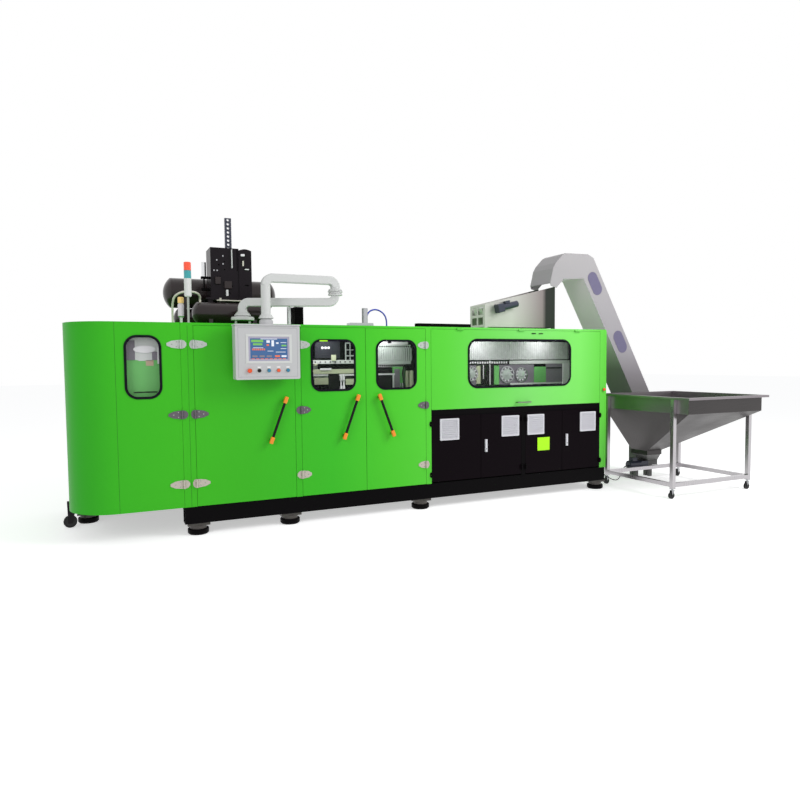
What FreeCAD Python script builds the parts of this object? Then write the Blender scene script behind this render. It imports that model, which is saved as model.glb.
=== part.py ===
"""Stretch blow moulding machine with its preform feeder.

X runs along the machine from its rounded left end, Y goes back from the plane of
its front doors, and Z is up from the floor. All lengths are in millimetres. The
solids are written about an origin at the middle of the machine's footprint.
"""
import FreeCAD, Part
import math
import os

V = FreeCAD.Vector
X_AXIS, Y_AXIS, Z_AXIS = V(1, 0, 0), V(0, 1, 0), V(0, 0, 1)

# ---- cabinet ----
cabinet_length = 6450.0
cabinet_depth = 1900.0
panel_bottom = 296.0
panel_top = 2110.0
roof_thickness = 24.0
roof_top = panel_top + roof_thickness
corner_radius = 440.0
cover_wall = 25.0
cover_end = 1042.0
cover_depth = 1000.0
post_depth = 80.0
post_wall = 4.0
post_1 = (1044.0, 1164.0)
post_2 = (2189.0, 2254.0)
post_3 = (3746.0, 3814.0)
end_post_width = 109.0
post_4 = (cabinet_length - end_post_width, cabinet_length)
oven_bay_middle = (post_3[1] + post_4[0]) / 2.0
door_split = 2997.0
door_gap = 3.0
door_thickness = 30.0
door_sheet = 3.0
rail_height = 60.0
rail_depth = 44.0
back_panel = 20.0

# ---- base frame and feet ----
base_low = 120.0
base_top = panel_bottom
beam_width = 150.0
beam_wall = 8.0
beam_setback = 20.0
leg_width = 90.0
foot_line = 108.0
foot_x = (post_1[0] + 136.0, post_2[0] - 52.0, post_3[0] - 31.0, cabinet_length - 85.0)
end_foot_x = 150.0
pad_radius = 105.0
pad_height = 58.0
pad_edge = 14.0
neck_radius = 84.0
foot_plate = 30.0

# ---- work table ----
table_top = 1162.0
table_edge = 70.0
table_plate = 32.0
table_front = 90.0
table_back = cabinet_depth - 120.0

# ---- hinges ----
hinge_height = 86.0
hinge_reach = 130.0
hinge_reach_fixed = 56.0
hinge_reach_short = 38.0
hinge_reach_beside_window = 102.0
hinge_plate = 6.0
hinge_barrel = 11.0
hinge_pin = 5.0
pin_clearance = 0.05
knuckle_gap = 0.4
hinge_out = 14.0
hinge_levels = (532.0, 1226.0, 1920.0)
small_hinge_height = 60.0
small_hinge_reach = 27.0
lower_hinge_levels = (400.0, 1000.0)
lift_hinge_inset = 386.0
lift_hinge_x = (post_3[1] + lift_hinge_inset, oven_bay_middle, post_4[0] - lift_hinge_inset)

# ---- windows ----
window_lip = 12.0
window_proud = 6.0
window_clearance = 0.3
window_margin = 130.0
window_corner_share = 0.208
window_low = 1428.0
window_high = 1969.0
door_2_window = (post_2[1] + window_margin - 6.0, door_split - window_margin)
door_3_window = (door_split + window_margin + 5.0, post_3[0] - window_margin)
door_2_window += (window_low, window_high, (door_2_window[1] - door_2_window[0]) * window_corner_share)
door_3_window += (window_low, window_high, (door_3_window[1] - door_3_window[0]) * window_corner_share)
cover_window = (cover_end - 503.0, cover_end - 188.0, 1402.0, 1996.0, 108.0)
oven_window = (post_3[1] + 508.0, post_4[0] - 497.0, 1416.0, 1988.0, 120.0)
oval_windows = ((165.0, 2798.0), (635.0, 1992.0))
oval_width = 120.0
oval_height = 300.0
oval_clearance = 0.5

# ---- handles ----
handle_section = 26.0
handle_standoff = 38.0
handle_low = 901.0
handle_high = 1364.0
handle_lean = 172.0
door_1_handle_top = post_2[0] - 106.0
door_2_handle_top = door_split - 106.0
door_3_handle_top = door_split + 143.0
pull_left = oven_bay_middle - 80.0
pull_right = oven_bay_middle + 120.0
pull_level = 1216.0
pull_section = 18.0

# ---- lower doors of the oven ----
lower_door_low = 312.0
lower_door_shares = (0.0, 0.268, 0.515, 0.754, 1.0)
lower_edges = tuple(post_3[1] + share * (post_4[0] - post_3[1]) for share in lower_door_shares)
mullion_width = 60.0
grille_side = 255.0
grille_low = 800.0
grille_proud = 14.0
grille_border = 16.0
grille_inset = (112.0, 74.0, 55.0, 79.0)
slat_count = 9
lock_height = 152.0
lock_width = 30.0
lock_low = 628.0

# ---- emergency stop ----
stop_level = 1342.0
stop_x = cabinet_length - 48.0
stop_radius = 20.0
stop_travel = 6.0

# ---- left cover's caster ----
swivel_x = 20.0
swivel_y = cover_depth - 40.0
caster_trail = 40.0
caster_wheel_radius = 66.0
caster_wheel_width = 34.0
caster_axle = 8.0

# ---- roof equipment ----
tower_light_x = 1140.0
tower_light_y = 100.0
light_pole_radius = 12.0
light_pole_top = 2396.0
light_body_radius = 35.0
light_body_top = 2576.0
lens_height = 81.0
tank_radius = 112.0
front_tank = (1215.0, 2040.0, 450.0, roof_top + 20.0 + tank_radius)
lower_tank = (1110.0, 2150.0, 1250.0, roof_top + 14.0 + tank_radius)
big_tank_radius = 172.0
big_tank = (1000.0, 2300.0, 1250.0, 2548.0)
tower_left = 1464.0
tower_right = 1914.0
tower_front = 750.0
tower_depth = 300.0
tower_low = 2459.0
tower_height = 557.0
tower_top = tower_low + tower_height
tower_side_plate = 142.0
tower_arch = 18.0
side_cylinder_low = 2560.0
side_cylinder_body = 2700.0
chain_left = 1655.0
chain_width = 72.0
chain_pitch = 46.0
chain_links = 8
side_cylinder_radius = 25.0
filter_x = 1080.0
filter_y = 200.0
filter_bowl_radius = 31.0
drive_left = 2196.0
drive_right = 2364.0
drive_y = 300.0
cylinder_radius = 26.0
plate_left = 2900.0
plate_right = 3192.0
post_x = 3100.0
tray_left = post_3[0] - 12.0
tray_length = 727.0

# ---- operator panel on its two-part arm ----
arm_base_x = 1685.0
arm_base_y = 150.0
arm_ring = 118.0
arm_tube = 86.0
arm_bend = 70.0
lower_tube_level = 2362.0
elbow_x = 2594.0
elbow_y = -170.0
upper_tube_level = 2586.0
drop_x = 1858.0
drop_y = -160.0
drop_radius = 48.0
panel_width = 650.0
panel_height = 540.0
panel_depth = 150.0
panel_high = 2105.0
screen_width = 420.0
screen_height = 250.0
button_radius = 17.0
button_travel = 5.0
button_spread = 97.0

# ---- blow station ----
clamp_left = 1290.0
clamp_right = 2090.0
clamp_front = 300.0
clamp_back = 1500.0
clamp_low = table_top
clamp_high = 1880.0
end_plate = 60.0
tie_radius = 30.0
tie_clearance = 0.08
platen = 80.0
mould_depth = 150.0
mould_width = 560.0
mould_low = 1290.0
mould_high = 1730.0
mould_gap = 220.0
cavity_count = 4
cavity_radius = 45.0
stretch_level = 1985.0
shuttle_rail_y = 900.0
shuttle_rail_z = 1560.0

# ---- oven ----
chain_y = 650.0
sprocket_radius = 200.0
drive_sprocket_x = post_3[1] + 266.0
idler_sprocket_x = post_4[0] - 321.0
chain_level = 1300.0
chain_band = 24.0
holder_count = 36
holder_radius = 16.0
holder_height = 90.0
holder_clearance = 0.5
link_gap = 4.0
track_gap = 0.3
track_height = 20.0
track_flange = 14.0
lamp_bank_high = 1960.0
hood_low = 1760.0
hood_half_depth = 120.0
heat_shield_x = (3080.0, 3680.0)
heat_shield_y = 420.0
heat_shield_high = 1980.0

# ---- unscrambler ----
trough_right = cabinet_length - 500.0
trough_left = trough_right - 1115.0
trough_front = 450.0
trough_back = 815.0
trough_wall = 4.0
trough_low_end = 2462.0
trough_high_end = 2732.0
roller_radius = 45.0
roller_gap = 12.0

# ---- elevator ----
elevator_front = 420.0
elevator_back = 870.0
elevator_wall = 4.0
elevator_top = 3194.0
tail_depth = 140.0

# ---- hopper ----
bin_left = cabinet_length + 310.0
bin_right = bin_left + 1310.0
bin_front = -1070.0
bin_back = 360.0
bin_top = 1263.0
bin_bend = 1060.0
bin_wall = 5.0
rim_width = 60.0
rim_fold = 28.0
outlet = (bin_left + 440.0, bin_left + 710.0, 0.0, 300.0, 460.0)
boot_x = (cabinet_length + 1100.0, cabinet_length + 1290.0)
boot_front = 330.0
boot_top = 256.0
boot_low = 190.0
frame_tube = 50.0
frame_wall = 3.0
leg_outset = 28.0
frame_leg_x = (bin_left - leg_outset, bin_right + leg_outset)
frame_leg_y = (bin_front + 200.0, bin_back - 90.0)
frame_rail_low = 145.0
hopper_wheel_radius = 42.0

# ---- flexible lines: points chosen by hand ----
motor_cable_radius = 6.0
base_gland = 12.0
motor_cable_points = [
    (7178, 352, 200), (7142, 352, 200), (7096, 341, 182), (7050, 318, 150), (7000, 288, 112),
    (6948, 252, 84), (6892, 214, 70), (6834, 176, 64), (6776, 142, 66), (6718, 118, 76),
    (6660, 106, 94), (6602, 100, 122), (6548, 100, 152), (6510, 101, 174), (6484, 101, 182),
    (cabinet_length + base_gland, 101, 182)]
hose_radius = 9.0
hose_points = [
    (3140, 310, roof_top + 45), (3140, 310, 2215), (3142, 310, 2262), (3160, 310, 2304),
    (3200, 310, 2333), (3252, 310, 2342), (3302, 310, 2330), (3346, 309, 2302), (3376, 308, 2262),
    (3388, 307, 2216), (3390, 306, 2170), (3390, 306, roof_top)]
filter_pipe_radius = 11.0
filter_pipe_points = [
    (1020, 430, roof_top), (1020, 430, 2240), (1018, 400, 2340), (1030, 345, 2415), (1080, 300, 2455),
    (1150, 290, 2470), (1220, 310, 2470), (1270, 360, 2460), (1298, 420, 2436),
    (1302, front_tank[2], 2408), (1302, front_tank[2], front_tank[3] + tank_radius)]

# the footprint's middle, from what stands furthest out on each side
ORIGIN = V(
    (swivel_x - caster_trail - caster_wheel_radius + bin_right + rim_width) / 2.0,
    (bin_front - rim_width + cabinet_depth) / 2.0,
    0.0)


# ---- shapes used by more than one sub-assembly ----
def block(x0, x1, y0, y1, z0, z1):
    """A box between two corners."""
    return Part.makeBox(x1 - x0, y1 - y0, z1 - z0, V(x0, y0, z0))


def rod(start, axis, radius, length):
    """A round bar from a point along an axis."""
    return Part.makeCylinder(radius, length, V(*start), axis)


def soften(shape, radius, axis):
    """Round the edges that run along an axis."""
    picked = []
    for edge in shape.Edges:
        if isinstance(edge.Curve, Part.Line) and abs(edge.Curve.Direction.dot(axis)) > 0.999:
            picked.append(edge)
    return shape.makeFillet(radius, picked)


def tube_along(axis, x0, x1, y0, y1, z0, z1, wall):
    """A rectangular steel tube, open at both ends of its axis."""
    inner = [x0 + wall, x1 - wall, y0 + wall, y1 - wall, z0 + wall, z1 - wall]
    if axis == "x":
        inner[0], inner[1] = x0, x1
    if axis == "y":
        inner[2], inner[3] = y0, y1
    if axis == "z":
        inner[4], inner[5] = z0, z1
    return block(x0, x1, y0, y1, z0, z1).cut(block(*inner))


def prism(points, y0, y1):
    """An outline in X and Z, drawn back from y0 to y1."""
    corners = [V(x, y0, z) for x, z in points]
    face = Part.Face(Part.makePolygon(corners + corners[:1]))
    return face.extrude(V(0, y1 - y0, 0))


def hopper_shape(upper, lower):
    """A solid with flat sloping sides between two rectangles (x0, x1, y0, y1, z)."""
    def ring(x0, x1, y0, y1, z):
        """The rectangle's corners in order."""
        return [V(x0, y0, z), V(x1, y0, z), V(x1, y1, z), V(x0, y1, z)]
    top, base = ring(*upper), ring(*lower)
    loops = [top, base]
    for index in range(4):
        follow = (index + 1) % 4
        loops.append([top[index], top[follow], base[follow], base[index]])
    faces = [Part.Face(Part.makePolygon(loop + loop[:1])) for loop in loops]
    solid = Part.makeSolid(Part.makeShell(faces))
    if solid.Volume < 0:
        solid.reverse()
    return solid


def turned(profile, x, y, z):
    """A shape turned about a vertical axis from (radius, height) points."""
    corners = [V(r, 0, h) for r, h in profile]
    face = Part.Face(Part.makePolygon(corners + corners[:1]))
    solid = face.revolve(V(0, 0, 0), Z_AXIS, 360)
    solid.translate(V(x, y, z))
    return solid


def rounded_plate(x0, x1, z0, z1, y0, y1, radius):
    """An upright plate with rounded corners."""
    return soften(block(x0, x1, y0, y1, z0, z1), radius, Y_AXIS)


def bent_tube(points, radius, name):
    """A tube of straight runs joined by the largest tangent arcs that they allow."""
    pts = [V(*p) for p in points]
    edges = []
    start = pts[0]
    radii = []
    for before, corner, after in zip(pts, pts[1:], pts[2:]):
        into = (corner - before)
        out = (after - corner)
        shorter = min(into.Length, out.Length)
        into.normalize()
        out.normalize()
        half_turn = into.getAngle(out) / 2.0
        setback = 0.45 * shorter
        radii.append(setback / math.tan(half_turn))
        arc_start = corner - into * setback
        arc_end = corner + out * setback
        bisector = out - into
        bisector.normalize()
        reach = radii[-1] / math.cos(half_turn) - radii[-1]
        edges.append(Part.LineSegment(start, arc_start).toShape())
        edges.append(Part.Arc(arc_start, corner + bisector * reach, arc_end).toShape())
        start = arc_end
    edges.append(Part.LineSegment(start, pts[-1]).toShape())
    path = Part.Wire(edges)
    ring = Part.Wire(Part.Circle(pts[0], pts[1] - pts[0], radius).toShape())
    tube = path.makePipeShell([ring], True, False)
    share = tube.Volume / (math.pi * radius ** 2 * path.Length)
    print("%s: length %.0f, least bend radius %.0f, volume share %.4f"
          % (name, path.Length, min(radii), share))
    return tube


def export(name, *solids):
    """Write one node about the machine's origin, with faces that lie in one surface joined."""
    tidy = [solid.removeSplitter() for solid in solids]
    shape = tidy[0] if len(tidy) == 1 else Part.makeCompound(tidy)
    shape.translate(ORIGIN * -1)
    shape.exportStep("parts/%s.step" % name)


# ---- hinges ----
def leaf(height, reach, side):
    """A tapering hinge leaf on the face behind its pivot."""
    root = hinge_barrel + 2.0
    half = height / 2.0
    shoulder = root + (reach - root) * 0.6
    nose = height * 0.14
    outline = [(root, -half), (root, half), (shoulder, half * 0.8),
               (reach, nose), (reach, -nose), (shoulder, -half * 0.8)]
    plate = prism([(side * x, z) for x, z in outline], hinge_out - hinge_plate, hinge_out)
    return plate


def knuckle(z0, z1, side):
    """A barrel segment with the tab that joins it to its leaf."""
    root = hinge_barrel + 2.0
    tab = block(min(0, side * (root + 1)), max(0, side * (root + 1)),
                hinge_out - hinge_plate, hinge_out, z0, z1)
    return rod((0, 0, z0), Z_AXIS, hinge_barrel, z1 - z0).fuse(tab)


def hinge(height, fixed_reach, reach, side):
    """The fixed leaf with its pin, and the moving leaf on the given side."""
    half = height / 2.0
    third = height / 6.0
    fixed = leaf(height, fixed_reach, -side)
    fixed = fixed.fuse([knuckle(third, half, -side), knuckle(-half, -third, -side),
                        rod((0, 0, -half), Z_AXIS, hinge_pin, height)])
    moving = leaf(height, reach, side).fuse(knuckle(-third + knuckle_gap, third - knuckle_gap, side))
    moving = moving.cut(rod((0, 0, -half), Z_AXIS, hinge_pin + pin_clearance, height))
    return fixed, moving


def hinges_at(x, levels, side, fixed_reach, height=hinge_height, reach=hinge_reach):
    """The fixed and moving leaves of one door's hinges."""
    fixed_leaves, moving_leaves = [], []
    for level in levels:
        fixed, moving = hinge(height, fixed_reach, reach, side)
        fixed.translate(V(x, -hinge_out, level))
        moving.translate(V(x, -hinge_out, level))
        fixed_leaves.append(fixed)
        moving_leaves.append(moving)
    return fixed_leaves, moving_leaves


def lift_hinges():
    """The leaves of the oven cover's top hinges, whose pins lie along X."""
    fixed_leaves, moving_leaves = [], []
    for x in lift_hinge_x:
        fixed, moving = hinge(hinge_height, roof_thickness - 2.0, roof_thickness - 2.0, 1)
        for part, leaves in ((fixed, fixed_leaves), (moving, moving_leaves)):
            part.rotate(V(0, 0, 0), Y_AXIS, 90)
            part.translate(V(x, -hinge_out, panel_top))
            leaves.append(part)
    return fixed_leaves, moving_leaves


# ---- doors, windows and handles ----
def sheet_door(x0, x1, z0, z1, holes=()):
    """A folded sheet door: a front skin with its edges turned back."""
    tray = soften(block(x0, x1, 0, door_thickness, z0, z1), 5.0, Y_AXIS)
    hollow = block(x0 + door_sheet, x1 - door_sheet, door_sheet, door_thickness + 1,
                   z0 + door_sheet, z1 - door_sheet)
    tray = tray.cut(hollow)
    for left, right, low, high, radius in holes:
        tray = tray.cut(rounded_plate(left, right, low, high, -1, door_thickness, radius))
    return tray


def window_in(frame, wall):
    """A clear pane in its rubber surround, seated in a rounded hole."""
    left, right, low, high, radius = frame
    gap = window_clearance
    body = rounded_plate(left + gap, right - gap, low + gap, high - gap, -window_proud, wall, radius - gap)
    lip = rounded_plate(left - window_lip, right + window_lip, low - window_lip, high + window_lip,
                        -window_proud, 0, radius + window_lip)
    recess = rounded_plate(left + window_lip, right - window_lip, low + window_lip, high - window_lip,
                           -window_proud - 1, -1, radius - window_lip)
    return body.fuse(lip).cut(recess)


def door_handle(top_x, lean):
    """A slanting round-edged bar on two stand-offs."""
    length = math.hypot(lean, handle_high - handle_low)
    half = handle_section / 2.0
    bar = soften(block(-half, half, -handle_standoff - handle_section, -handle_standoff, -length, 0),
                 half * 0.7, Z_AXIS)
    for z in (-length + 2 * half, -2 * half):
        bar = bar.fuse(block(-half * 0.8, half * 0.8, -handle_standoff - 1, 0, z - half, z + half))
    bar.rotate(V(0, 0, 0), Y_AXIS, math.degrees(math.atan2(lean, handle_high - handle_low)))
    bar.translate(V(top_x, 0, handle_high))
    return bar


def louvred_grille(left):
    """A square filter grille: a border with sloping slats."""
    right = left + grille_side
    high = grille_low + grille_side
    frame = soften(block(left, right, -grille_proud, 0, grille_low, high), 8.0, Y_AXIS)
    inner_side = grille_side - 2 * grille_border
    frame = frame.cut(block(left + grille_border, right - grille_border, -grille_proud - 1, -3,
                            grille_low + grille_border, high - grille_border))
    pitch = inner_side / slat_count
    slats = []
    for index in range(slat_count):
        low = grille_low + grille_border + index * pitch
        outline = [V(left + grille_border - 1, -3.5, low + pitch * 0.35),
                   V(left + grille_border - 1, -3.5, low + pitch * 0.75),
                   V(left + grille_border - 1, -grille_proud + 2, low + pitch * 0.45),
                   V(left + grille_border - 1, -grille_proud + 2, low + pitch * 0.2)]
        outline[0].y = outline[1].y = -2.5
        face = Part.Face(Part.makePolygon(outline + outline[:1]))
        slats.append(face.extrude(V(inner_side + 2, 0, 0)))
    return frame.fuse(slats)


def end_cover(front):
    """A rounded end cover: front or rear half, with its top plate."""
    def outline(inset):
        """The cover's plan, smaller by the inset on its outer sides."""
        radius = corner_radius - inset
        far = cover_depth if front else cabinet_depth - cover_depth - 4.0
        corner = V(corner_radius, corner_radius, 0)
        mid = math.sqrt(0.5) * radius
        edges = [
            Part.LineSegment(V(cover_end, inset, 0), V(corner_radius, inset, 0)).toShape(),
            Part.Arc(V(corner_radius, inset, 0), corner - V(mid, mid, 0),
                     V(inset, corner_radius, 0)).toShape(),
            Part.LineSegment(V(inset, corner_radius, 0), V(inset, far, 0)).toShape(),
            Part.LineSegment(V(inset, far, 0), V(cover_end, far, 0)).toShape(),
            Part.LineSegment(V(cover_end, far, 0), V(cover_end, inset, 0)).toShape()]
        return Part.Face(Part.Wire(edges))
    outer = outline(0.0).extrude(V(0, 0, roof_top - panel_bottom))
    inner = outline(cover_wall).extrude(V(0, 0, roof_top - panel_bottom - roof_thickness))
    shell = outer.cut(inner)
    shell.translate(V(0, 0, panel_bottom))
    if not front:
        shell = shell.mirror(V(0, cabinet_depth / 2.0, 0), Y_AXIS)
    return shell


def make_cabinet():
    """Frame, fixed panels, roof, base and feet."""
    os.makedirs("parts", exist_ok=True)
    posts = []
    back_y = cabinet_depth - post_depth
    for left, right in (post_1, post_2, post_3, post_4):
        posts.append(tube_along("z", left, right, 0, post_depth, panel_bottom, panel_top, post_wall))
        posts.append(tube_along("z", left, right, back_y, cabinet_depth, panel_bottom, panel_top, post_wall))
    rail_front = post_depth - rail_depth
    rails = []
    for left, right in ((post_1[1], post_2[0]), (post_2[1], post_3[0]), (post_3[1], post_4[0])):
        low = panel_top - rail_height
        rails.append(tube_along("x", left, right, rail_front, post_depth, low, panel_top, post_wall))
        rails.append(tube_along("x", left, right, back_y, back_y + rail_depth, low, panel_top, post_wall))
    for left, right in (post_1, post_4):
        rails.append(tube_along("y", left + 20, right - 20, post_depth, back_y,
                                panel_top - rail_height, panel_top, post_wall))
    collar = turned([(0, -post_wall), (stop_radius + 8, -post_wall), (stop_radius + 8, 0),
                     (stop_radius + 4, 6), (0, 6)], 0, 0, 0)
    collar = collar.cut(rod((0, 0, -5), Z_AXIS, 8.0, 12))
    collar.rotate(V(0, 0, 0), X_AXIS, 90)
    collar.translate(V(stop_x, 0, stop_level))
    end_post = posts[6].cut(rod((stop_x, -1, stop_level), Y_AXIS, stop_radius + 8, 5))
    posts[6] = end_post.fuse(collar)
    export("cabinet_frame", *(posts + rails))

    tray = tube_along("x", tray_left, tray_left + tray_length, 180, 260, roof_top, roof_top + 50, 3.0)
    roof = block(post_1[0], cabinet_length, 0, cabinet_depth, panel_top, roof_top)
    export("roof_panel", soften(roof, 8.0, Z_AXIS), tray)

    panels = []
    bays = ((post_1[1], post_2[0]), (post_2[1], post_3[0]), (post_3[1], lower_edges[2] - 1),
            (lower_edges[2] + 1, post_4[0]))
    for left, right in bays:
        panels.append(block(left + door_gap, right - door_gap, cabinet_depth - back_panel, cabinet_depth,
                            panel_bottom, panel_top - 2))
    end = block(cabinet_length - back_panel, cabinet_length, post_depth + door_gap, back_y - door_gap,
                panel_bottom, panel_top - rail_height)
    export("fixed_panels", end, *panels)
    export("rear_end_cover", end_cover(front=False))

    beams = []
    lines = (beam_setback, cabinet_depth - beam_setback - beam_width)
    beams.append(tube_along("x", post_1[0], cabinet_length, lines[0], lines[0] + beam_width,
                            base_low, base_top, beam_wall))
    beams.append(tube_along("x", cover_wall + 5, cabinet_length, lines[1], lines[1] + beam_width,
                            base_low, base_top, beam_wall))
    for index, y in enumerate(lines):
        beams[index] = beams[index].fuse(block(cabinet_length - beam_wall, cabinet_length, y, y + beam_width,
                                               base_low, base_top))
    cable_end = motor_cable_points[-1]
    gland = rod((cabinet_length, cable_end[1], cable_end[2]), X_AXIS, 11.0, base_gland)
    beams[0] = beams[0].fuse(gland)
    inner = (lines[0] + beam_width, lines[1])
    for x in foot_x:
        beams.append(tube_along("y", x - beam_width / 2, x + beam_width / 2, inner[0], inner[1],
                                base_low, base_top, beam_wall))
    side_start = cover_depth + 80.0
    beams.append(tube_along("y", cover_wall + 5, cover_wall + 5 + beam_width, side_start, inner[1],
                            base_low, base_top, beam_wall))
    beams.append(tube_along("x", cover_wall + 5 + beam_width, foot_x[0] - beam_width / 2, side_start,
                            side_start + beam_width, base_low, base_top, beam_wall))
    for x in foot_x:
        for y in (table_front + 20, table_back - 20 - leg_width):
            beams.append(tube_along("z", x - leg_width / 2, x + leg_width / 2, y, y + leg_width,
                                    base_top, table_top - table_plate, 5.0))
    middle = lower_edges[2]
    beams.append(tube_along("z", middle - mullion_width / 2, middle + mullion_width / 2, 0, 60,
                            base_top, table_top - table_edge, 4.0))
    export("base_frame", *beams)

    spots = [(x, y) for x in foot_x for y in (foot_line, cabinet_depth - foot_line)]
    spots += [(end_foot_x, cabinet_depth - foot_line), (end_foot_x, side_start + beam_width / 2)]
    profile = [(0, 0), (pad_radius - pad_edge, 0), (pad_radius, pad_edge), (pad_radius, pad_height - 5),
               (pad_radius - 5, pad_height), (neck_radius, pad_height), (neck_radius, base_low - foot_plate),
               (0, base_low - foot_plate)]
    feet = []
    for x, y in spots:
        foot = turned(profile, x, y, 0)
        half = beam_width / 2 - 5
        plate = block(x - half - 40, x + half + 40, y - half, y + half, base_low - foot_plate, base_low)
        feet.append(foot.fuse(plate))
    export("levelling_feet", *feet)

    skirt = block(post_3[1] + 2, post_4[0] - 2, 2, table_front, table_top - table_edge, table_top)
    plate = block(post_1[1], post_4[0], table_front, table_back, table_top - table_plate, table_top)
    chute = block(clamp_left + 150, clamp_right - 150, 820, 980, table_top - table_plate - 1, table_top + 1)
    export("work_table", plate.fuse(skirt).cut(chute))

    body = turned([(0, 0), (stop_radius, 0), (stop_radius, 8), (stop_radius - 5, 13), (0, 14)], 0, 0, 8.0 + stop_travel)
    body = body.fuse(rod((0, 0, -12), Z_AXIS, 8.0 - pin_clearance, 27))
    body.rotate(V(0, 0, 0), X_AXIS, 90)
    body.translate(V(stop_x, 0, stop_level))
    export("emergency_stop", body)


def make_doors():
    """The end cover, three machine doors, the lift-up oven cover and four lower doors."""
    fixed = []
    cover = end_cover(front=True)
    left, right, low, high, radius = cover_window
    cover = cover.cut(rounded_plate(left, right, low, high, -1, cover_wall + 1, radius))
    pad = block(swivel_x - 35, swivel_x + 55, swivel_y - 40, swivel_y + 38, panel_bottom - 14, panel_bottom)
    pad = pad.fuse(rod((swivel_x, swivel_y, panel_bottom - 34), Z_AXIS, 10.0, 22))
    cover_leaves = hinges_at(cover_end + 1, hinge_levels, -1, hinge_reach_fixed)
    fixed += cover_leaves[0]
    export("left_cover", cover, pad, *cover_leaves[1])
    export("cover_window", window_in(cover_window, cover_wall))

    top = panel_bottom - 14 - 0.5
    wheel_x = swivel_x - caster_trail
    half = caster_wheel_width / 2 + 3
    crown = block(wheel_x - 26, swivel_x + 34, swivel_y - half - 5, swivel_y + half + 5, top - 14, top)
    crown = crown.cut(rod((swivel_x, swivel_y, top - 30), Z_AXIS, 10.0 + pin_clearance, 40))
    cheek_side = [(wheel_x - 20, caster_wheel_radius - 18), (wheel_x + 20, caster_wheel_radius - 18),
                  (swivel_x + 34, top - 14), (wheel_x - 26, top - 14)]
    fork = crown
    for y in (swivel_y - half - 5, swivel_y + half):
        fork = fork.fuse(prism(cheek_side, y, y + 5))
    axle = rod((wheel_x, swivel_y - half - 5, caster_wheel_radius), Y_AXIS, caster_axle, 2 * half + 10)
    fork = fork.fuse(axle)
    export("cover_caster_fork", fork)
    rim = caster_wheel_radius
    wide = caster_wheel_width / 2
    bore = caster_axle + pin_clearance
    half_tread = [(bore, wide), (22, wide), (24, wide - 6), (rim - 14, wide - 6), (rim - 10, wide),
                  (rim - 3, wide), (rim, wide - 4)]
    tread = half_tread + [(radius, -height) for radius, height in reversed(half_tread)]
    wheel = turned(tread, 0, 0, 0)
    wheel.rotate(V(0, 0, 0), X_AXIS, 90)
    wheel.translate(V(wheel_x, swivel_y, caster_wheel_radius))
    export("cover_caster_wheel", wheel)

    low, high = panel_bottom + door_gap, panel_top - door_gap
    spans = {
        "door_1": (post_1[1] + door_gap, post_2[0] - door_gap, post_1[1] + 1, 1, hinge_reach_short,
                   (), door_1_handle_top, handle_lean),
        "door_2": (post_2[1] + door_gap, door_split - 2, post_2[1] + 1, 1, hinge_reach_fixed,
                   (door_2_window,), door_2_handle_top, handle_lean),
        "door_3": (door_split + 2, post_3[0] - door_gap, post_3[0] - 1, -1, hinge_reach_short,
                   (door_3_window,), door_3_handle_top, -handle_lean)}
    for name, (left, right, pivot, side, reach, holes, handle_top, lean) in spans.items():
        export(name, sheet_door(left, right, low, high, holes))
        moving_reach = hinge_reach_beside_window if holes else hinge_reach
        leaves = hinges_at(pivot, hinge_levels, side, reach, hinge_height, moving_reach)
        fixed += leaves[0]
        export(name + "_fittings", door_handle(handle_top, lean), *leaves[1])
        if holes:
            export(name + "_window", window_in(holes[0], door_sheet))

    cover = sheet_door(post_3[1] + door_gap, post_4[0] - door_gap, table_top + door_gap,
                       panel_top - door_gap, (oven_window,))
    half = pull_section / 2
    pull = soften(block(pull_left, pull_right, -36 - pull_section, -36, pull_level - half, pull_level + half),
                  half * 0.7, X_AXIS)
    for x in (pull_left + 4, pull_right - 18):
        pull = pull.fuse(block(x, x + 14, -37, 0, pull_level - half + 2, pull_level + half - 2))
    leaves = lift_hinges()
    fixed += leaves[0]
    export("oven_cover", cover, pull, *leaves[1])
    export("oven_window", window_in(oven_window, door_sheet))

    high = table_top - table_edge - door_gap
    sides = (1, -1, 1, -1)
    for index, side in enumerate(sides):
        left, right = lower_edges[index], lower_edges[index + 1]
        left_gap = mullion_width / 2 if index == 2 else 0
        right_gap = mullion_width / 2 if index == 1 else 0
        left, right = left + left_gap + door_gap, right - right_gap - door_gap
        pivot = left - door_gap + 1 if side > 0 else right + door_gap - 1
        door = sheet_door(left, right, lower_door_low, high)
        leaves = hinges_at(pivot, lower_hinge_levels, side, small_hinge_reach, small_hinge_height,
                           small_hinge_reach)
        fixed += leaves[0]
        edge = lower_edges[index] if side > 0 else lower_edges[index + 1] - grille_side
        pieces = [door.fuse(louvred_grille(edge + side * grille_inset[index]))]
        if side < 0:
            lock = soften(block(left + 50, left + 50 + lock_width, -22, 0, lock_low, lock_low + lock_height),
                          6.0, Z_AXIS)
            pieces.append(lock)
        export("lower_door_%d" % (index + 1), *(pieces + leaves[1]))
    export("frame_hinge_leaves", *fixed)


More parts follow.
